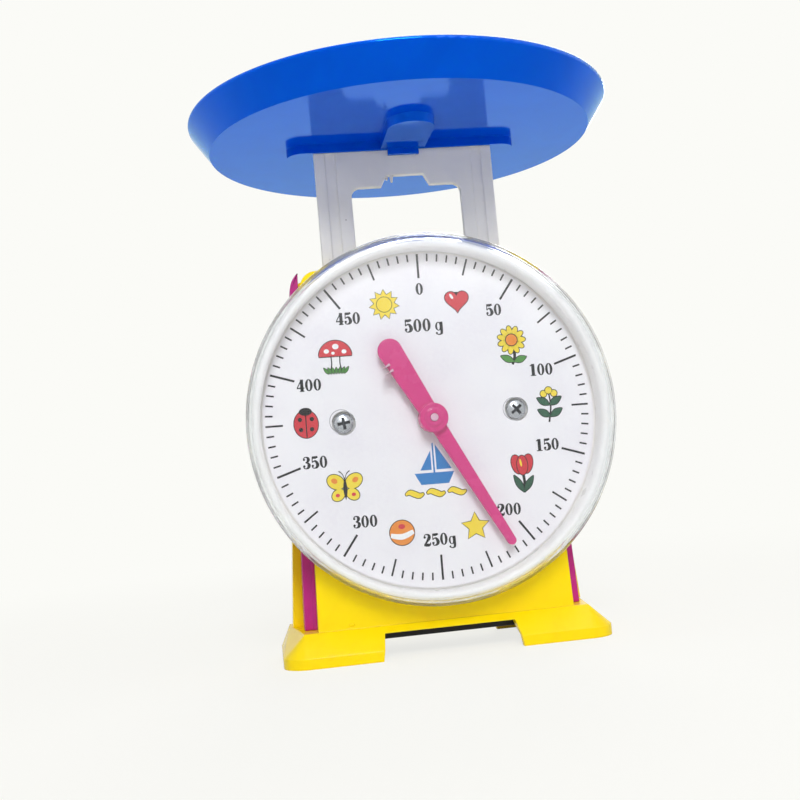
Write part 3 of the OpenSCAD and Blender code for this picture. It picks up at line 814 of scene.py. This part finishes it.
class PictureSheet(PrintSheet):
    """A print sheet with plain picture-book motifs, each drawn about the pen."""

    def sunflower(self) -> None:
        """Draws a yellow flower with a stem and two leaves."""
        self.plate(Finish.INK_BLACK, brush([(0.0, 0.0, 0.9), (0.6, -3.0, 0.8), (-0.2, -5.6, 0.7)]))
        for tip in ((-3.4, -3.0), (3.9, -3.6)):
            self.outlined(Finish.INK_GREEN, leaf((0.3, -4.8), tip, 1.7))
        for a in turns(11):
            petal = ellipse((2.5 * math.cos(a), 1.4 + 2.5 * math.sin(a)), (1.55, 0.75), math.degrees(a), 20)
            self.outlined(Finish.INK_YELLOW, petal)
        self.outlined(Finish.INK_ORANGE, ellipse((0.0, 1.4), (1.6, 1.6)), 3)

    def tulip(self) -> None:
        """Draws a red tulip with a stem and long leaves."""
        self.plate(Finish.INK_BLACK, brush([(0.0, 0.5, 0.8), (0.3, -2.6, 0.8), (0.0, -5.4, 0.7)]))
        for tip in ((-2.6, -0.4), (2.9, -0.9)):
            self.outlined(Finish.INK_DARK_GREEN, leaf((0.0, -5.2), tip, 1.6))
        for side in (-1, 1):
            self.outlined(Finish.INK_RED, ellipse((side * 1.5, 2.6), (1.5, 2.7), side * -14.0, 28))
        self.outlined(Finish.INK_RED, ellipse((0.0, 2.3), (1.5, 2.7), 0.0, 28), 3)
        self.plate(Finish.INK_YELLOW, ellipse((-0.4, 3.0), (0.3, 1.1), 8.0, 16), 4)

    def butterfly(self) -> None:
        """Draws a butterfly with four spotted yellow wings."""
        for side in (-1, 1):
            self.outlined(Finish.INK_YELLOW, ellipse((side * 2.5, 1.7), (2.5, 1.9), side * 32.0, 30))
            self.outlined(Finish.INK_YELLOW, ellipse((side * 2.0, -1.9), (1.9, 1.5), side * -35.0, 30))
            self.plate(Finish.INK_ORANGE, ellipse((side * 2.9, 2.0), (0.9, 0.7), side * 32.0, 20), 2)
            self.plate(Finish.INK_RED, ellipse((side * 2.2, -2.0), (0.6, 0.5), 0.0, 20), 2)
            feeler = [(0.0, 2.2, 0.22), (side * 0.6, 3.8, 0.2), (side * 1.5, 4.6, 0.35)]
            self.plate(Finish.INK_BLACK, brush(feeler), 3)
        self.plate(Finish.INK_BLACK, leaf((0.0, -3.4), (0.0, 2.8), 1.1), 3)

    def toadstool(self) -> None:
        """Draws a red toadstool with white spots in the grass."""
        stalk = [(0.0, 0.4, 2.2), (0.0, -2.2, 2.0), (0.0, -4.2, 3.0)]
        self.outlined(Finish.INK_WHITE, brush(stalk), 1, 0.32)
        cap = [(x, z) for x, z in ellipse((0.0, 0.0), (4.6, 4.4), 0.0, 48) if z >= -0.01]
        self.outlined(Finish.INK_RED, cap, 2)
        for x, z, r in ((-2.4, 1.5, 0.75), (0.2, 2.7, 0.9), (2.5, 1.2, 0.7), (-0.6, 0.9, 0.5)):
            self.plate(Finish.INK_WHITE, ellipse((x, z), (r, r * 0.85), 0.0, 20), 3)
        for k in range(-3, 4):
            self.outlined(Finish.INK_GREEN, leaf((0.7 * k, -4.9), (1.15 * k, -3.1), 0.7), 3, 0.15)

    def heart(self) -> None:
        """Draws a small red heart."""
        size = 0.21
        outline = [(size * 16 * math.sin(t) ** 3,
                    size * (13 * math.cos(t) - 5 * math.cos(2 * t) - 2 * math.cos(3 * t) - math.cos(4 * t)))
                   for t in turns(40)]
        self.outlined(Finish.INK_RED, outline)
        self.plate(Finish.INK_WHITE, ellipse((-1.5, 1.2), (0.4, 0.85), 30.0, 16), 2)

    def sprig(self) -> None:
        """Draws a sprig of green leaves with yellow buds."""
        self.plate(Finish.INK_BLACK, brush([(-0.5, -4.4, 0.5), (0.3, 0.0, 0.45), (0.0, 4.0, 0.4)]))
        for side in (-1, 1):
            for z in (-2.8, 0.5):
                self.outlined(Finish.INK_DARK_GREEN, leaf((0.0, z), (side * 3.5, z + 2.1), 1.8))
            self.outlined(Finish.INK_YELLOW, ellipse((side * 1.5, 3.7), (0.9, 0.9), 0.0, 20))
        self.outlined(Finish.INK_YELLOW, ellipse((0.0, 4.6), (0.95, 0.95), 0.0, 20), 2)

    def star(self) -> None:
        """Draws a small yellow star."""
        self.outlined(Finish.INK_YELLOW, star_outline(4.0, 1.9, 5))

    def ball(self) -> None:
        """Draws a small ball with a band."""
        self.outlined(Finish.INK_ORANGE, ellipse((0.0, 0.0), (3.4, 3.4)))
        self.plate(Finish.INK_WHITE, brush([(-3.2, -0.6, 1.2), (0.0, -1.1, 1.6), (3.2, 0.1, 1.2)]), 2)
        self.plate(Finish.INK_RED, ellipse((0.0, 1.7), (0.95, 0.7), 0.0, 20), 2)

    def beetle(self) -> None:
        """Draws a red beetle with black spots."""
        self.outlined(Finish.INK_RED, ellipse((0.0, 0.0), (3.3, 3.8)))
        self.plate(Finish.INK_BLACK, ellipse((0.0, 3.4), (1.8, 1.1), 0.0, 24), 2)
        self.plate(Finish.INK_BLACK, brush([(0.0, 3.3, 0.3), (0.0, -3.7, 0.3)]), 2)
        for spot in ((-1.65, 1.3), (1.65, 1.3), (-1.5, -1.5), (1.5, -1.5)):
            self.plate(Finish.INK_BLACK, ellipse(spot, (0.6, 0.6), 0.0, 16), 2)

    def sun(self) -> None:
        """Draws a small yellow sun with rays."""
        self.outlined(Finish.INK_YELLOW, star_outline(4.2, 2.8, 11))
        self.outlined(Finish.INK_YELLOW, ellipse((0.0, 0.0), (2.1, 2.1)), 3, 0.16)

    def boat(self) -> None:
        """Draws a blue sailing boat over yellow ripples."""
        self.plate(Finish.INK_BLUE, [(-5.6, -2.0), (5.6, -2.0), (3.9, -5.2), (-3.9, -5.2)])
        self.plate(Finish.INK_BLUE, brush([(0.0, -2.0, 0.5), (0.0, 6.2, 0.4)]))
        self.plate(Finish.INK_BLUE, [(0.7, -1.2), (5.0, -1.2), (0.7, 5.8)])
        self.plate(Finish.INK_BLUE, [(-0.7, -1.2), (-0.7, 4.2), (-3.9, -1.2)])
        ripple = [(-2.5, 0.0, 0.5), (-1.3, 0.5, 1.3), (0.0, 0.0, 1.5), (1.3, -0.5, 1.3), (2.5, 0.0, 0.5)]
        for middle in (-6.0, 0.0, 6.0):
            self.outlined(Finish.INK_YELLOW, brush([(middle + x, -7.6 + z, w) for x, z, w in ripple]))


# Screws and small trim


def sliver(mesh: BMesh, corners: Outline, front: float, rear: float) -> None:
    """Adds a small flat piece with an outline between two depths.

    Args:
        mesh: Mesh that takes the piece.
        corners: Outline in X and Z, in millimetres.
        front: Depth of its front face, in metres.
        rear: Depth of its rear face, in metres.
    """
    near, far = ([mesh.verts.new((x * MM, y, z * MM)) for x, z in corners] for y in (front, rear))
    close_between(mesh, near, far)


class Facing(Enum):
    """The way a screw's head points."""

    FRONT = (0.0, -1.0, 0.0)
    REAR = (0.0, 1.0, 0.0)
    DOWN = (0.0, 0.0, -1.0)


@dataclass(frozen=True)
class CrossScrew:
    """Pan head screw with a cross recess, turned and recessed as one closed mesh. The brim is the share of
    the head below its dome, the tip the share of the shank's radius at its end, and the taper the shares of
    the cross's length at its floor and at its mouth, which is cut from a little above the head."""

    head_r: float
    head_h: float
    shank_r: float
    shank_l: float
    brim: float = 0.35
    tip: float = 0.6
    recess_w: float = 0.85
    recess_l: float = 3.7
    recess_d: float = 1.35
    recess_taper: Point = (0.78, 1.05)
    side_taper: float = 0.2
    cut_above: float = 0.3
    dome_step_deg: int = 9
    steps: int = 40

    def mesh(self) -> Mesh:
        """Makes the screw along Z, with its seat at the origin and its head up.

        Returns:
            The closed mesh, in metres.
        """
        dome = [(self.head_r * math.cos(a), self.head_h * (self.brim + (1 - self.brim) * math.sin(a)))
                for a in map(math.radians, range(0, 90, self.dome_step_deg))]
        tip_r = self.shank_r * self.tip
        profile = [(0.0, -self.shank_l), (tip_r, -self.shank_l), (self.shank_r, tip_r - self.shank_l),
                   (self.shank_r, 0.0), (self.head_r, 0.0), *dome, (0.0, self.head_h)]
        turned = bmesh.new()
        line = [turned.verts.new((r * MM, 0.0, z * MM)) for r, z in profile]
        edges = [turned.edges.new(pair) for pair in zip(line, line[1:])]
        bmesh.ops.spin(turned, geom=line + edges, cent=(0, 0, 0), axis=(0, 0, 1), angle=2 * math.pi,
                       steps=self.steps, use_merge=True)
        bmesh.ops.remove_doubles(turned, verts=turned.verts[:], dist=SAME_POINT)
        bmesh.ops.recalc_face_normals(turned, faces=turned.faces[:])
        metals = [finish.material() for finish in (Finish.ZINC_STEEL, Finish.RECESS_STEEL)]
        blank = new_object("screw_blank", turned, *metals)
        cutter = new_object("screw_recess", self._recess(), *metals)
        cut = blank.modifiers.new("cut", "BOOLEAN")
        cut.object = cutter
        cut.operation = "DIFFERENCE"
        cut.solver = "EXACT"
        cut.material_mode = "INDEX"
        bpy.context.view_layer.update()
        done = bpy.data.meshes.new_from_object(blank.evaluated_get(bpy.context.evaluated_depsgraph_get()))
        for passing in (blank, cutter):
            bpy.data.objects.remove(passing)
        return done

    def _recess(self) -> BMesh:
        """Makes the tapered cross that is cut into the head.

        Returns:
            The closed mesh of the cross, in metres.
        """
        cross = bmesh.new()
        loops = []
        for z, share in zip((self.head_h - self.recess_d, self.head_h + self.cut_above), self.recess_taper):
            long = self.recess_l / 2 * share
            wide = self.recess_w / 2 * (1 - self.side_taper * (1 - share))
            corners = [(long, -wide), (long, wide), (wide, wide)]
            for _ in range(3):
                corners += [(-y, x) for x, y in corners[-3:]]
            loops.append([cross.verts.new((x * MM, y * MM, z * MM)) for x, y in corners])
        close_between(cross, *loops)
        # Every face of the cross takes the darker recess steel: painted shade, partly thinner plate
        for face in cross.faces:
            face.material_index = 1
        bmesh.ops.recalc_face_normals(cross, faces=cross.faces[:])
        return cross

    def group(self, node: str, seats: list[Place], facing: Facing, turns_deg: tuple[float, ...]) -> None:
        """Puts a screw on each seat, as one piece that stands for a node.

        Args:
            node: Node of the frame that the screws stand for.
            seats: Middle of each seat, in millimetres.
            facing: The way the heads point.
            turns_deg: How far each screw was driven round.
        """
        one = self.mesh()
        joined = bmesh.new()
        out = Vector(facing.value).to_track_quat("Z", "Y").to_matrix().to_4x4()
        for seat, turn in zip(seats, turns_deg):
            before = len(joined.verts)
            joined.from_mesh(one)
            joined.verts.ensure_lookup_table()
            place = Matrix.Translation(Vector(seat) * MM) @ out @ Matrix.Rotation(math.radians(turn), 4, "Z")
            bmesh.ops.transform(joined, matrix=place, verts=joined.verts[before:])
        bpy.data.meshes.remove(one)
        bmesh.ops.remove_doubles(joined, verts=joined.verts[:], dist=SAME_POINT)
        piece = new_piece(node + "_crossed", joined, "case", "zinc_steel", Finish.ZINC_STEEL,
                          Finish.RECESS_STEEL, smooth_deg=30.0)
        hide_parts(node)


# Sub-assemblies


class SubAssembly:
    """Pieces of the scale that go together. Their mouldings keep the frame's own shape."""

    mouldings: ClassVar[tuple[Moulding, ...]] = ()

    def dress(self) -> None:
        """Gives each moulding its finish."""
        for moulding in self.mouldings:
            moulding.dress()

    def build(self) -> None:
        """Makes the pieces that the frame lacks or only holds the place of."""


@dataclass
class Case(SubAssembly):
    """Yellow shells, magenta side panels and black bottom cover, with the screws that hold them."""

    mouldings = (
        Moulding("front_shell", Finish.YELLOW_ABS, 0.0), Moulding("rear_cover", Finish.YELLOW_ABS, 0.0),
        Moulding("left_side_panel", Finish.MAGENTA_ABS, 0.3),
        Moulding("right_side_panel", Finish.MAGENTA_ABS, 0.3),
        Moulding("bottom_cover", Finish.BLACK_PP, 0.2), Moulding("gear_bridge", Finish.ACETAL, 0.2),
        Moulding("bridge_screws", Finish.ZINC_STEEL, 0.05))
    cover_screw: CrossScrew = CrossScrew(head_r=2.6, head_h=1.6, shank_r=1.25, shank_l=14.0)
    cover_turns_deg: tuple[float, ...] = (12, 63, -25, 40)
    high_post: Point = (28.8, 100.0)
    low_post: Point = (30.4, 20.0)
    cover_seat_y: float = 10.2
    bottom_screw: CrossScrew = CrossScrew(head_r=2.6, head_h=1.6, shank_r=1.25, shank_l=8.0)
    bottom_turns_deg: tuple[float, ...] = (5, 50, -30, 22)
    bottom_x: float = 30.9
    bottom_y: Point = (-6.5, 1.5)
    bottom_seat_z: float = 4.9
    pip_at: Place = (-26.9, -12.05, 9.9)
    pip_radii: Place = (0.91, 0.35, 0.49)

    def build(self) -> None:
        """Makes the visible screws and the gate mark on the front."""
        sides = (1, -1)
        rows = (self.high_post, self.low_post)
        posts = [(side * x, self.cover_seat_y, z) for x, z in rows for side in sides]
        self.cover_screw.group("cover_screws", posts, Facing.REAR, self.cover_turns_deg)
        feet = [(side * self.bottom_x, y, self.bottom_seat_z) for y in self.bottom_y for side in sides]
        self.bottom_screw.group("bottom_screws", feet, Facing.DOWN, self.bottom_turns_deg)
        self._gate_mark()

    def _gate_mark(self) -> None:
        """Makes the small round pip that the mould's gate left on the front plate."""
        pip = bmesh.new()
        bmesh.ops.create_uvsphere(pip, u_segments=16, v_segments=10, radius=MM)
        bmesh.ops.scale(pip, vec=self.pip_radii, verts=pip.verts[:])
        bmesh.ops.translate(pip, vec=Vector(self.pip_at) * MM, verts=pip.verts[:])
        new_piece("gate_mark", pip, "case", "yellow_abs", Finish.YELLOW_ABS)


@dataclass
class Dial(SubAssembly):
    """Dish, printed card and clear lens, with two screws through the card. Each kind of mark has a length
    and a width, and the numerals near the top stand a little further out."""

    mouldings = (
        Moulding("dial_dish", Finish.WHITE_PS, 0.0), Moulding("dial_card", Finish.CARD, 0.04),
        Moulding("shaft_bush", Finish.ACETAL, 0.15), Moulding("lens", Finish.CLEAR_PS, 0.0))
    outer_r: float = 45.67
    divisions: int = 100
    steps_per_medium: int = 5
    steps_per_major: int = 10
    reading_per_major: int = 50
    minor: Point = (2.1, 0.46)
    medium: Point = (4.8, 0.52)
    major: Point = (6.9, 0.6)
    numeral_r: float = 34.5
    numeral_h: float = 3.35
    numeral_rise: float = 1.2
    full_at: Point = (0.4, 25.4)
    full_h: float = 3.685
    boat_at: Point = (0.0, -14.0)
    print_turn_deg: float = 0.57
    print_shift: Point = (-0.34, 0.95)
    screw: CrossScrew = CrossScrew(head_r=2.8, head_h=1.7, shank_r=1.25, shank_l=5.0)
    screw_turns_deg: tuple[float, ...] = (38, 8)
    screw_x: float = 24.5
    screw_up: float = 0.7
    screw_seat_y: float = -12.85
    hole_r: Point = (3.3, 3.1)
    hole_shift: Point = (-0.65, 0.35)

    def build(self) -> None:
        """Prints the card and makes the crossed screws."""
        low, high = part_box("dial_card")
        middle = (low + high) / 2
        shift = Vector((self.print_shift[0], 0.0, self.print_shift[1])) * MM
        sheet = PictureSheet(Vector((middle.x, low.y, middle.z)) + shift, self.print_turn_deg)
        self._scale(sheet)
        self._numerals(sheet)
        self._pictures(sheet)
        self._screw_holes(sheet)
        sheet.lay("case", "printed_card")
        screw_z = middle.z / MM + self.screw_up
        seats = [(side * self.screw_x, self.screw_seat_y, screw_z) for side in (1, -1)]
        self.screw.group("dial_screws", seats, Facing.FRONT, self.screw_turns_deg)

    def _scale(self, sheet: PrintSheet) -> None:
        """Draws the marks of the scale, a longer one at every fifth and tenth.

        Args:
            sheet: Sheet that takes the marks.
        """
        for i, a in enumerate(turns(self.divisions)):
            length, width = self.minor
            if i % self.steps_per_medium == 0:
                length, width = self.medium
            if i % self.steps_per_major == 0:
                length, width = self.major
            ends = [(r * math.sin(a), r * math.cos(a), width) for r in (self.outer_r, self.outer_r - length)]
            sheet.plate(Finish.INK_BLACK, brush(ends))

    def _numerals(self, sheet: PrintSheet) -> None:
        """Draws a numeral at every long mark, with the unit at the bottom and beside the full reading.

        Args:
            sheet: Sheet that takes the numerals.
        """
        count = self.divisions // self.steps_per_major
        full = count * self.reading_per_major
        for i, a in enumerate(turns(count)):
            reading = i * self.reading_per_major
            text = f"{reading}g" if 2 * reading == full else str(reading)
            radius = self.numeral_r + self.numeral_rise * max(0.0, math.cos(a)) ** 2
            sheet.words(Finish.INK_BLACK, text, (radius * math.sin(a), radius * math.cos(a)), self.numeral_h)
        sheet.words(Finish.INK_BLACK, f"{full} g", self.full_at, self.full_h)

    def _pictures(self, sheet: PictureSheet) -> None:
        """Draws motifs between the numerals, large and small by turns, and a boat.

        Args:
            sheet: Sheet that takes the motifs.
        """
        # Angle from the top in degrees, radius and motif
        places = [(54, 31.0, sheet.sunflower), (126, 31.0, sheet.tulip), (234, 31.0, sheet.butterfly),
                  (306, 31.0, sheet.toadstool), (18, 33.5, sheet.heart), (90, 34.5, sheet.sprig),
                  (162, 33.5, sheet.star), (198, 33.5, sheet.ball), (270, 34.5, sheet.beetle),
                  (342, 33.5, sheet.sun)]
        for angle, radius, draw in places:
            a = math.radians(angle)
            sheet.pen = (radius * math.sin(a), radius * math.cos(a))
            draw()
        sheet.pen = self.boat_at
        sheet.boat()
        sheet.pen = (0.0, 0.0)

    def _screw_holes(self, sheet: PrintSheet) -> None:
        """Draws a grey ring, a painted shadow line, at the edge of the hole that was punched a little off
        each screw.

        Args:
            sheet: Sheet that takes the edges.
        """
        z = self.screw_up - self.print_shift[1] + self.hole_shift[1]
        for side in (-1, 1):
            x = side * self.screw_x - self.print_shift[0] + self.hole_shift[0]
            sheet.ring(Finish.CUT_CARD, *(ellipse((x, z), (r, r)) for r in self.hole_r))


@dataclass
class Carriage(SubAssembly):
    """Tray on its bracket, with the crosshead and rack that it pushes down. The widths of a nib are at its
    root and its tip, and its depths are shares of the bracket's thickness."""

    mouldings = (
        Moulding("tray", Finish.BLUE_PP, 0.0), Moulding("tray_bracket", Finish.WHITE_PP, 0.25),
        Moulding("crosshead", Finish.WHITE_PP, 0.3), Moulding("rack", Finish.ACETAL, 0.05),
        Moulding("arm_screws", Finish.ZINC_STEEL, 0.05))
    nib_x: Point = (-5.3, -3.9)
    nib_top: float = 136.25
    nib_drop: Point = (1.2, 1.9)
    nib_w: Point = (1.0, 0.4)
    nib_depth: Point = (0.1, 0.7)

    def build(self) -> None:
        """Makes the moulding nibs in the bracket's notch."""
        low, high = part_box("tray_bracket")
        front, rear = (low.lerp(high, share).y for share in self.nib_depth)
        root, tip = (width / 2 for width in self.nib_w)
        nibs = bmesh.new()
        for x, drop in zip(self.nib_x, self.nib_drop):
            end = self.nib_top - drop
            corners = [(x - root, self.nib_top), (x + root, self.nib_top), (x + tip, end), (x - tip, end)]
            sliver(nibs, corners, front, rear)
        new_piece("bracket_nibs", nibs, "carriage", "white_pp", Finish.WHITE_PP)


@dataclass
class Pointer(SubAssembly):
    """Pointer with its shaft, pinion and clip."""

    mouldings = (
        Moulding("pointer", Finish.PINK_PS, 0.3), Moulding("pointer_shaft", Finish.ROSE_ACETAL, 0.2),
        Moulding("pinion", Finish.ACETAL, 0.04), Moulding("shaft_clip", Finish.ZINC_STEEL, 0.05))
    reading_deg: float = -POINTER_SPIN["range_deg"][0]
    nib_along: Point = (17.0, 18.8)
    nib_root: float = 2.5
    nib_l: float = 2.2
    nib_w: float = 0.8
    nib_proud: float = 0.15

    def build(self) -> None:
        """Makes the two nibs that the mould's gate left on the tail."""
        low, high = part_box("pointer")
        a = math.radians(self.reading_deg)
        tail, side = Vector((-math.sin(a), -math.cos(a))), Vector((math.cos(a), -math.sin(a)))
        nibs = bmesh.new()
        for along in self.nib_along:
            root = DIAL_AXIS.xz / MM + tail * along + side * self.nib_root
            corners = [root - tail * self.nib_w / 2, root + tail * self.nib_w / 2, root + side * self.nib_l]
            sliver(nibs, corners, low.y - self.nib_proud * MM, (low.y + high.y) / 2)
        new_piece("pointer_nibs", nibs, "pointer", "pink_ps", Finish.ROSE_ACETAL)


@dataclass
class ReturnSpring(SubAssembly):
    """Coil spring under the crosshead, wound from round wire."""

    wire_r: float = 0.45
    coils: int = 9
    ring_steps: int = 28
    wire_sides: int = 12
    keep: float = 0.5

    def build(self) -> None:
        """Winds the spring in the space that its node holds."""
        low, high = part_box("return_spring")
        middle = (low + high) / 2
        wire = self.wire_r * MM
        radius = (high.x - low.x) / 2 - wire
        stations = self.coils * self.ring_steps
        coil = bmesh.new()
        loops = []
        for i in range(stations + 1):
            a = 2 * math.pi * i / self.ring_steps
            z = low.z + wire + (high.z - low.z - 2 * wire) * i / stations
            out = Vector((math.cos(a), math.sin(a), 0.0))
            centre = Vector((middle.x, middle.y, z)) + out * radius
            loops.append([coil.verts.new(centre + wire * (math.cos(b) * out + Vector((0, 0, math.sin(b)))))
                          for b in turns(self.wire_sides)])
        for one, two in zip(loops, loops[1:]):
            bridge(coil, one, two)
        coil.faces.new(loops[0])
        coil.faces.new(loops[-1][::-1])
        piece = new_piece("return_spring_coil", coil, "case", "spring_steel", Finish.SPRING_STEEL)
        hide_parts("return_spring")
        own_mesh(piece)


# Studio


@dataclass(frozen=True)
class Lamp:
    """A soft box that looks at a point. Its place and size are in metres and its power in watts."""

    name: str
    at: Place
    power: float
    size: Point
    aim: Place = (0.0, 0.0, 0.07)
    fades: bool = False

    def hang(self) -> None:
        """Makes the lamp."""
        data = bpy.data.lights.new(self.name, "AREA")
        data.energy = self.power
        data.shape = "RECTANGLE"
        data.size, data.size_y = self.size
        if self.fades:
            self._fade(data)
        lamp = bpy.data.objects.new(self.name, data)
        lamp.location = self.at
        lamp.rotation_euler = (Vector(self.aim) - Vector(self.at)).to_track_quat("-Z", "Y").to_euler()
        bpy.context.scene.collection.objects.link(lamp)

    def _fade(self, data: AreaLight) -> None:
        """Makes the box brightest in its middle and dark at its edges, so that a mirror shows no outline.

        Args:
            data: The lamp.
        """
        data.use_nodes = True
        tree = data.node_tree
        add = partial(add_node, tree)
        # The place on the box runs from 0 to 1 each way
        place = add("NewGeometry").outputs["Parametric"]
        off = add("VectorMath", {0: place, 1: (0.5, 0.5, 0.0)}, operation="DISTANCE")
        share = add("MapRange", {"Value": off, "From Min": 0.5, "From Max": 0.0},
                    interpolation_type="SMOOTHSTEP")
        tree.links.new(share.outputs["Result"], tree.nodes["Emission"].inputs["Strength"])


@dataclass
class Studio:
    """Camera at the photograph's place, a pale floor that fades to white, a white room and soft boxes. The
    low strip in front is there to be mirrored in the top of the lens."""

    camera_at: Place = (-47.7, -312.8, 50.2)
    yaw_deg: float = 7.52
    pitch_deg: float = -3.83
    roll_deg: float = -5.133
    focal_mm: float = 48.737
    sensor_mm: float = 36.0
    nearest: float = 0.01
    floor_r: float = 6.0
    floor_colour: str = "#F1F0EC"
    floor_grain_mm: float = 2.0
    background: str = "#FBFBF7"
    floor_glow: float = 0.8
    floor_fade: Point = (0.1, 0.4)
    room_light: float = 0.3
    front_gloss: float = 0.62
    floor_behind: Point = (-0.15, 0.25)
    room_behind: Point = (-0.8, -0.1)
    lamps: tuple[Lamp, ...] = (
        Lamp("key_soft_box", (-0.06, -0.78, 0.64), 5.3, (0.32, 0.32)),
        Lamp("top_soft_box", (0.1, -0.25, 1.1), 2.6, (0.7, 0.7)),
        Lamp("rear_soft_box", (0.3, 0.9, 0.64), 4.0, (0.5, 0.5)),
        Lamp("window_strip", (0.16, -1.0, 0.42), 3.4, (1.1, 0.56), fades=True))

    def place_camera(self) -> None:
        """Sets the camera where the photograph was taken from."""
        data = bpy.data.cameras.new("camera")
        data.sensor_width = self.sensor_mm
        data.lens = self.focal_mm
        data.clip_start = self.nearest
        camera = bpy.data.objects.new("camera", data)
        to_view = (Matrix.Rotation(math.radians(self.roll_deg), 3, "Z")
                   @ Matrix(((1, 0, 0), (0, 0, -1), (0, 1, 0)))
                   @ Matrix.Rotation(math.radians(self.pitch_deg), 3, "X")
                   @ Matrix.Rotation(math.radians(self.yaw_deg), 3, "Z"))
        axes = (Matrix.Diagonal((1, -1, -1)) @ to_view).transposed()
        camera.matrix_world = Matrix.Translation(Vector(self.camera_at) * MM) @ axes.to_4x4()
        bpy.context.scene.collection.objects.link(camera)
        bpy.context.scene.camera = camera

    def build(self) -> None:
        """Lays the floor, lights the room and hangs the lamps."""
        bpy.context.scene.view_settings.view_transform = "Standard"
        self._floor()
        self._room()
        for lamp in self.lamps:
            lamp.hang()

    def _views(self, add: Adder, depth: NodeSocket, reach: Point) -> tuple[Node, NodeSocket, Node]:
        """Tells rays apart, so that the background is white to the eye and dimmer as a light.

        Args:
            add: Adds a node to the floor or the room.
            depth: How far behind the scale the ray ends, or how far back it points.
            reach: Depths between which the background grows white to gloss.

        Returns:
            One for a ray from the camera or through clear plastic, one for a ray off a glossy surface, and
            how white the background is to them: fully, but to gloss only behind the scale.
        """
        path = add("LightPath").outputs
        clear = add("Math", {0: path["Is Camera Ray"], 1: path["Is Transmission Ray"]}, operation="MAXIMUM")
        behind = add("MapRange", {"Value": depth, "From Min": reach[0], "From Max": reach[1],
                                  "To Min": self.front_gloss}, interpolation_type="SMOOTHSTEP")
        white = add("Math", {0: clear, 1: behind}, operation="MAXIMUM")
        return clear, path["Is Glossy Ray"], white

    def _floor(self) -> None:
        """Makes the floor. Near the scale it takes shadow, and far off it is as white as the room."""
        material, add = new_material("matt_paper_floor")
        place = add("TexCoord").outputs["Object"]
        grain = add("TexNoise", {"Vector": place, "Scale": per_mm(self.floor_grain_mm), "Detail": 3.0})
        bump = add("Bump", {"Height": grain, "Strength": 0.1, "Distance": 0.02 * MM})
        paper = add("BsdfPrincipled", {"Base Color": linear(self.floor_colour), "Roughness": 0.85,
                                       "Normal": bump})
        reach = add("VectorMath", {0: place}, operation="LENGTH")
        fade = add("MapRange", {"Value": reach, "From Min": self.floor_fade[0],
                                "From Max": self.floor_fade[1], "To Min": self.floor_glow},
                   interpolation_type="SMOOTHSTEP")
        depth = add("SeparateXYZ", {"Vector": place}).outputs["Y"]
        clear, gloss, white = self._views(add, depth, self.floor_behind)
        faded = add("Math", {0: fade, 1: clear}, operation="MULTIPLY")
        share = add("Math", {0: faded, 1: gloss}, operation="MAXIMUM")
        glow = add("Emission", {"Color": linear(self.background), "Strength": white})
        mixed = add("MixShader", {"Fac": share, 1: paper, 2: glow})
        add("OutputMaterial", {"Surface": mixed})
        disc = bmesh.new()
        bmesh.ops.create_circle(disc, cap_ends=True, radius=self.floor_r, segments=96)
        new_object("floor", disc, material)

    def _room(self) -> None:
        """Makes the white room: white where it is seen, and dimmer as a light."""
        world = bpy.data.worlds.new("white_room")
        world.use_nodes = True
        world.node_tree.nodes.clear()
        add = partial(add_node, world.node_tree)
        way = add("TexCoord").outputs["Generated"]
        depth = add("SeparateXYZ", {"Vector": way}).outputs["Y"]
        clear, gloss, white = self._views(add, depth, self.room_behind)
        shown = add("Math", {0: clear, 1: gloss}, operation="MAXIMUM")
        level = add("Mix", {"Factor": shown, "A": self.room_light, "B": white})
        room = add("Background", {"Color": linear(self.background), "Strength": level})
        add("OutputWorld", {"Surface": room})
        bpy.context.scene.world = world


def main() -> None:
    """Builds the studio and every sub-assembly in order."""
    logging.basicConfig(level=logging.INFO, format="%(name)s: %(message)s")
    studio = Studio()
    studio.place_camera()
    for part in (Case(), Dial(), Carriage(), Pointer(), ReturnSpring()):
        part.dress()
        part.build()
        LOG.info("built %s", type(part).__name__)
    studio.build()
    bpy.context.view_layer.update()


if __name__ == "__main__":
    main()
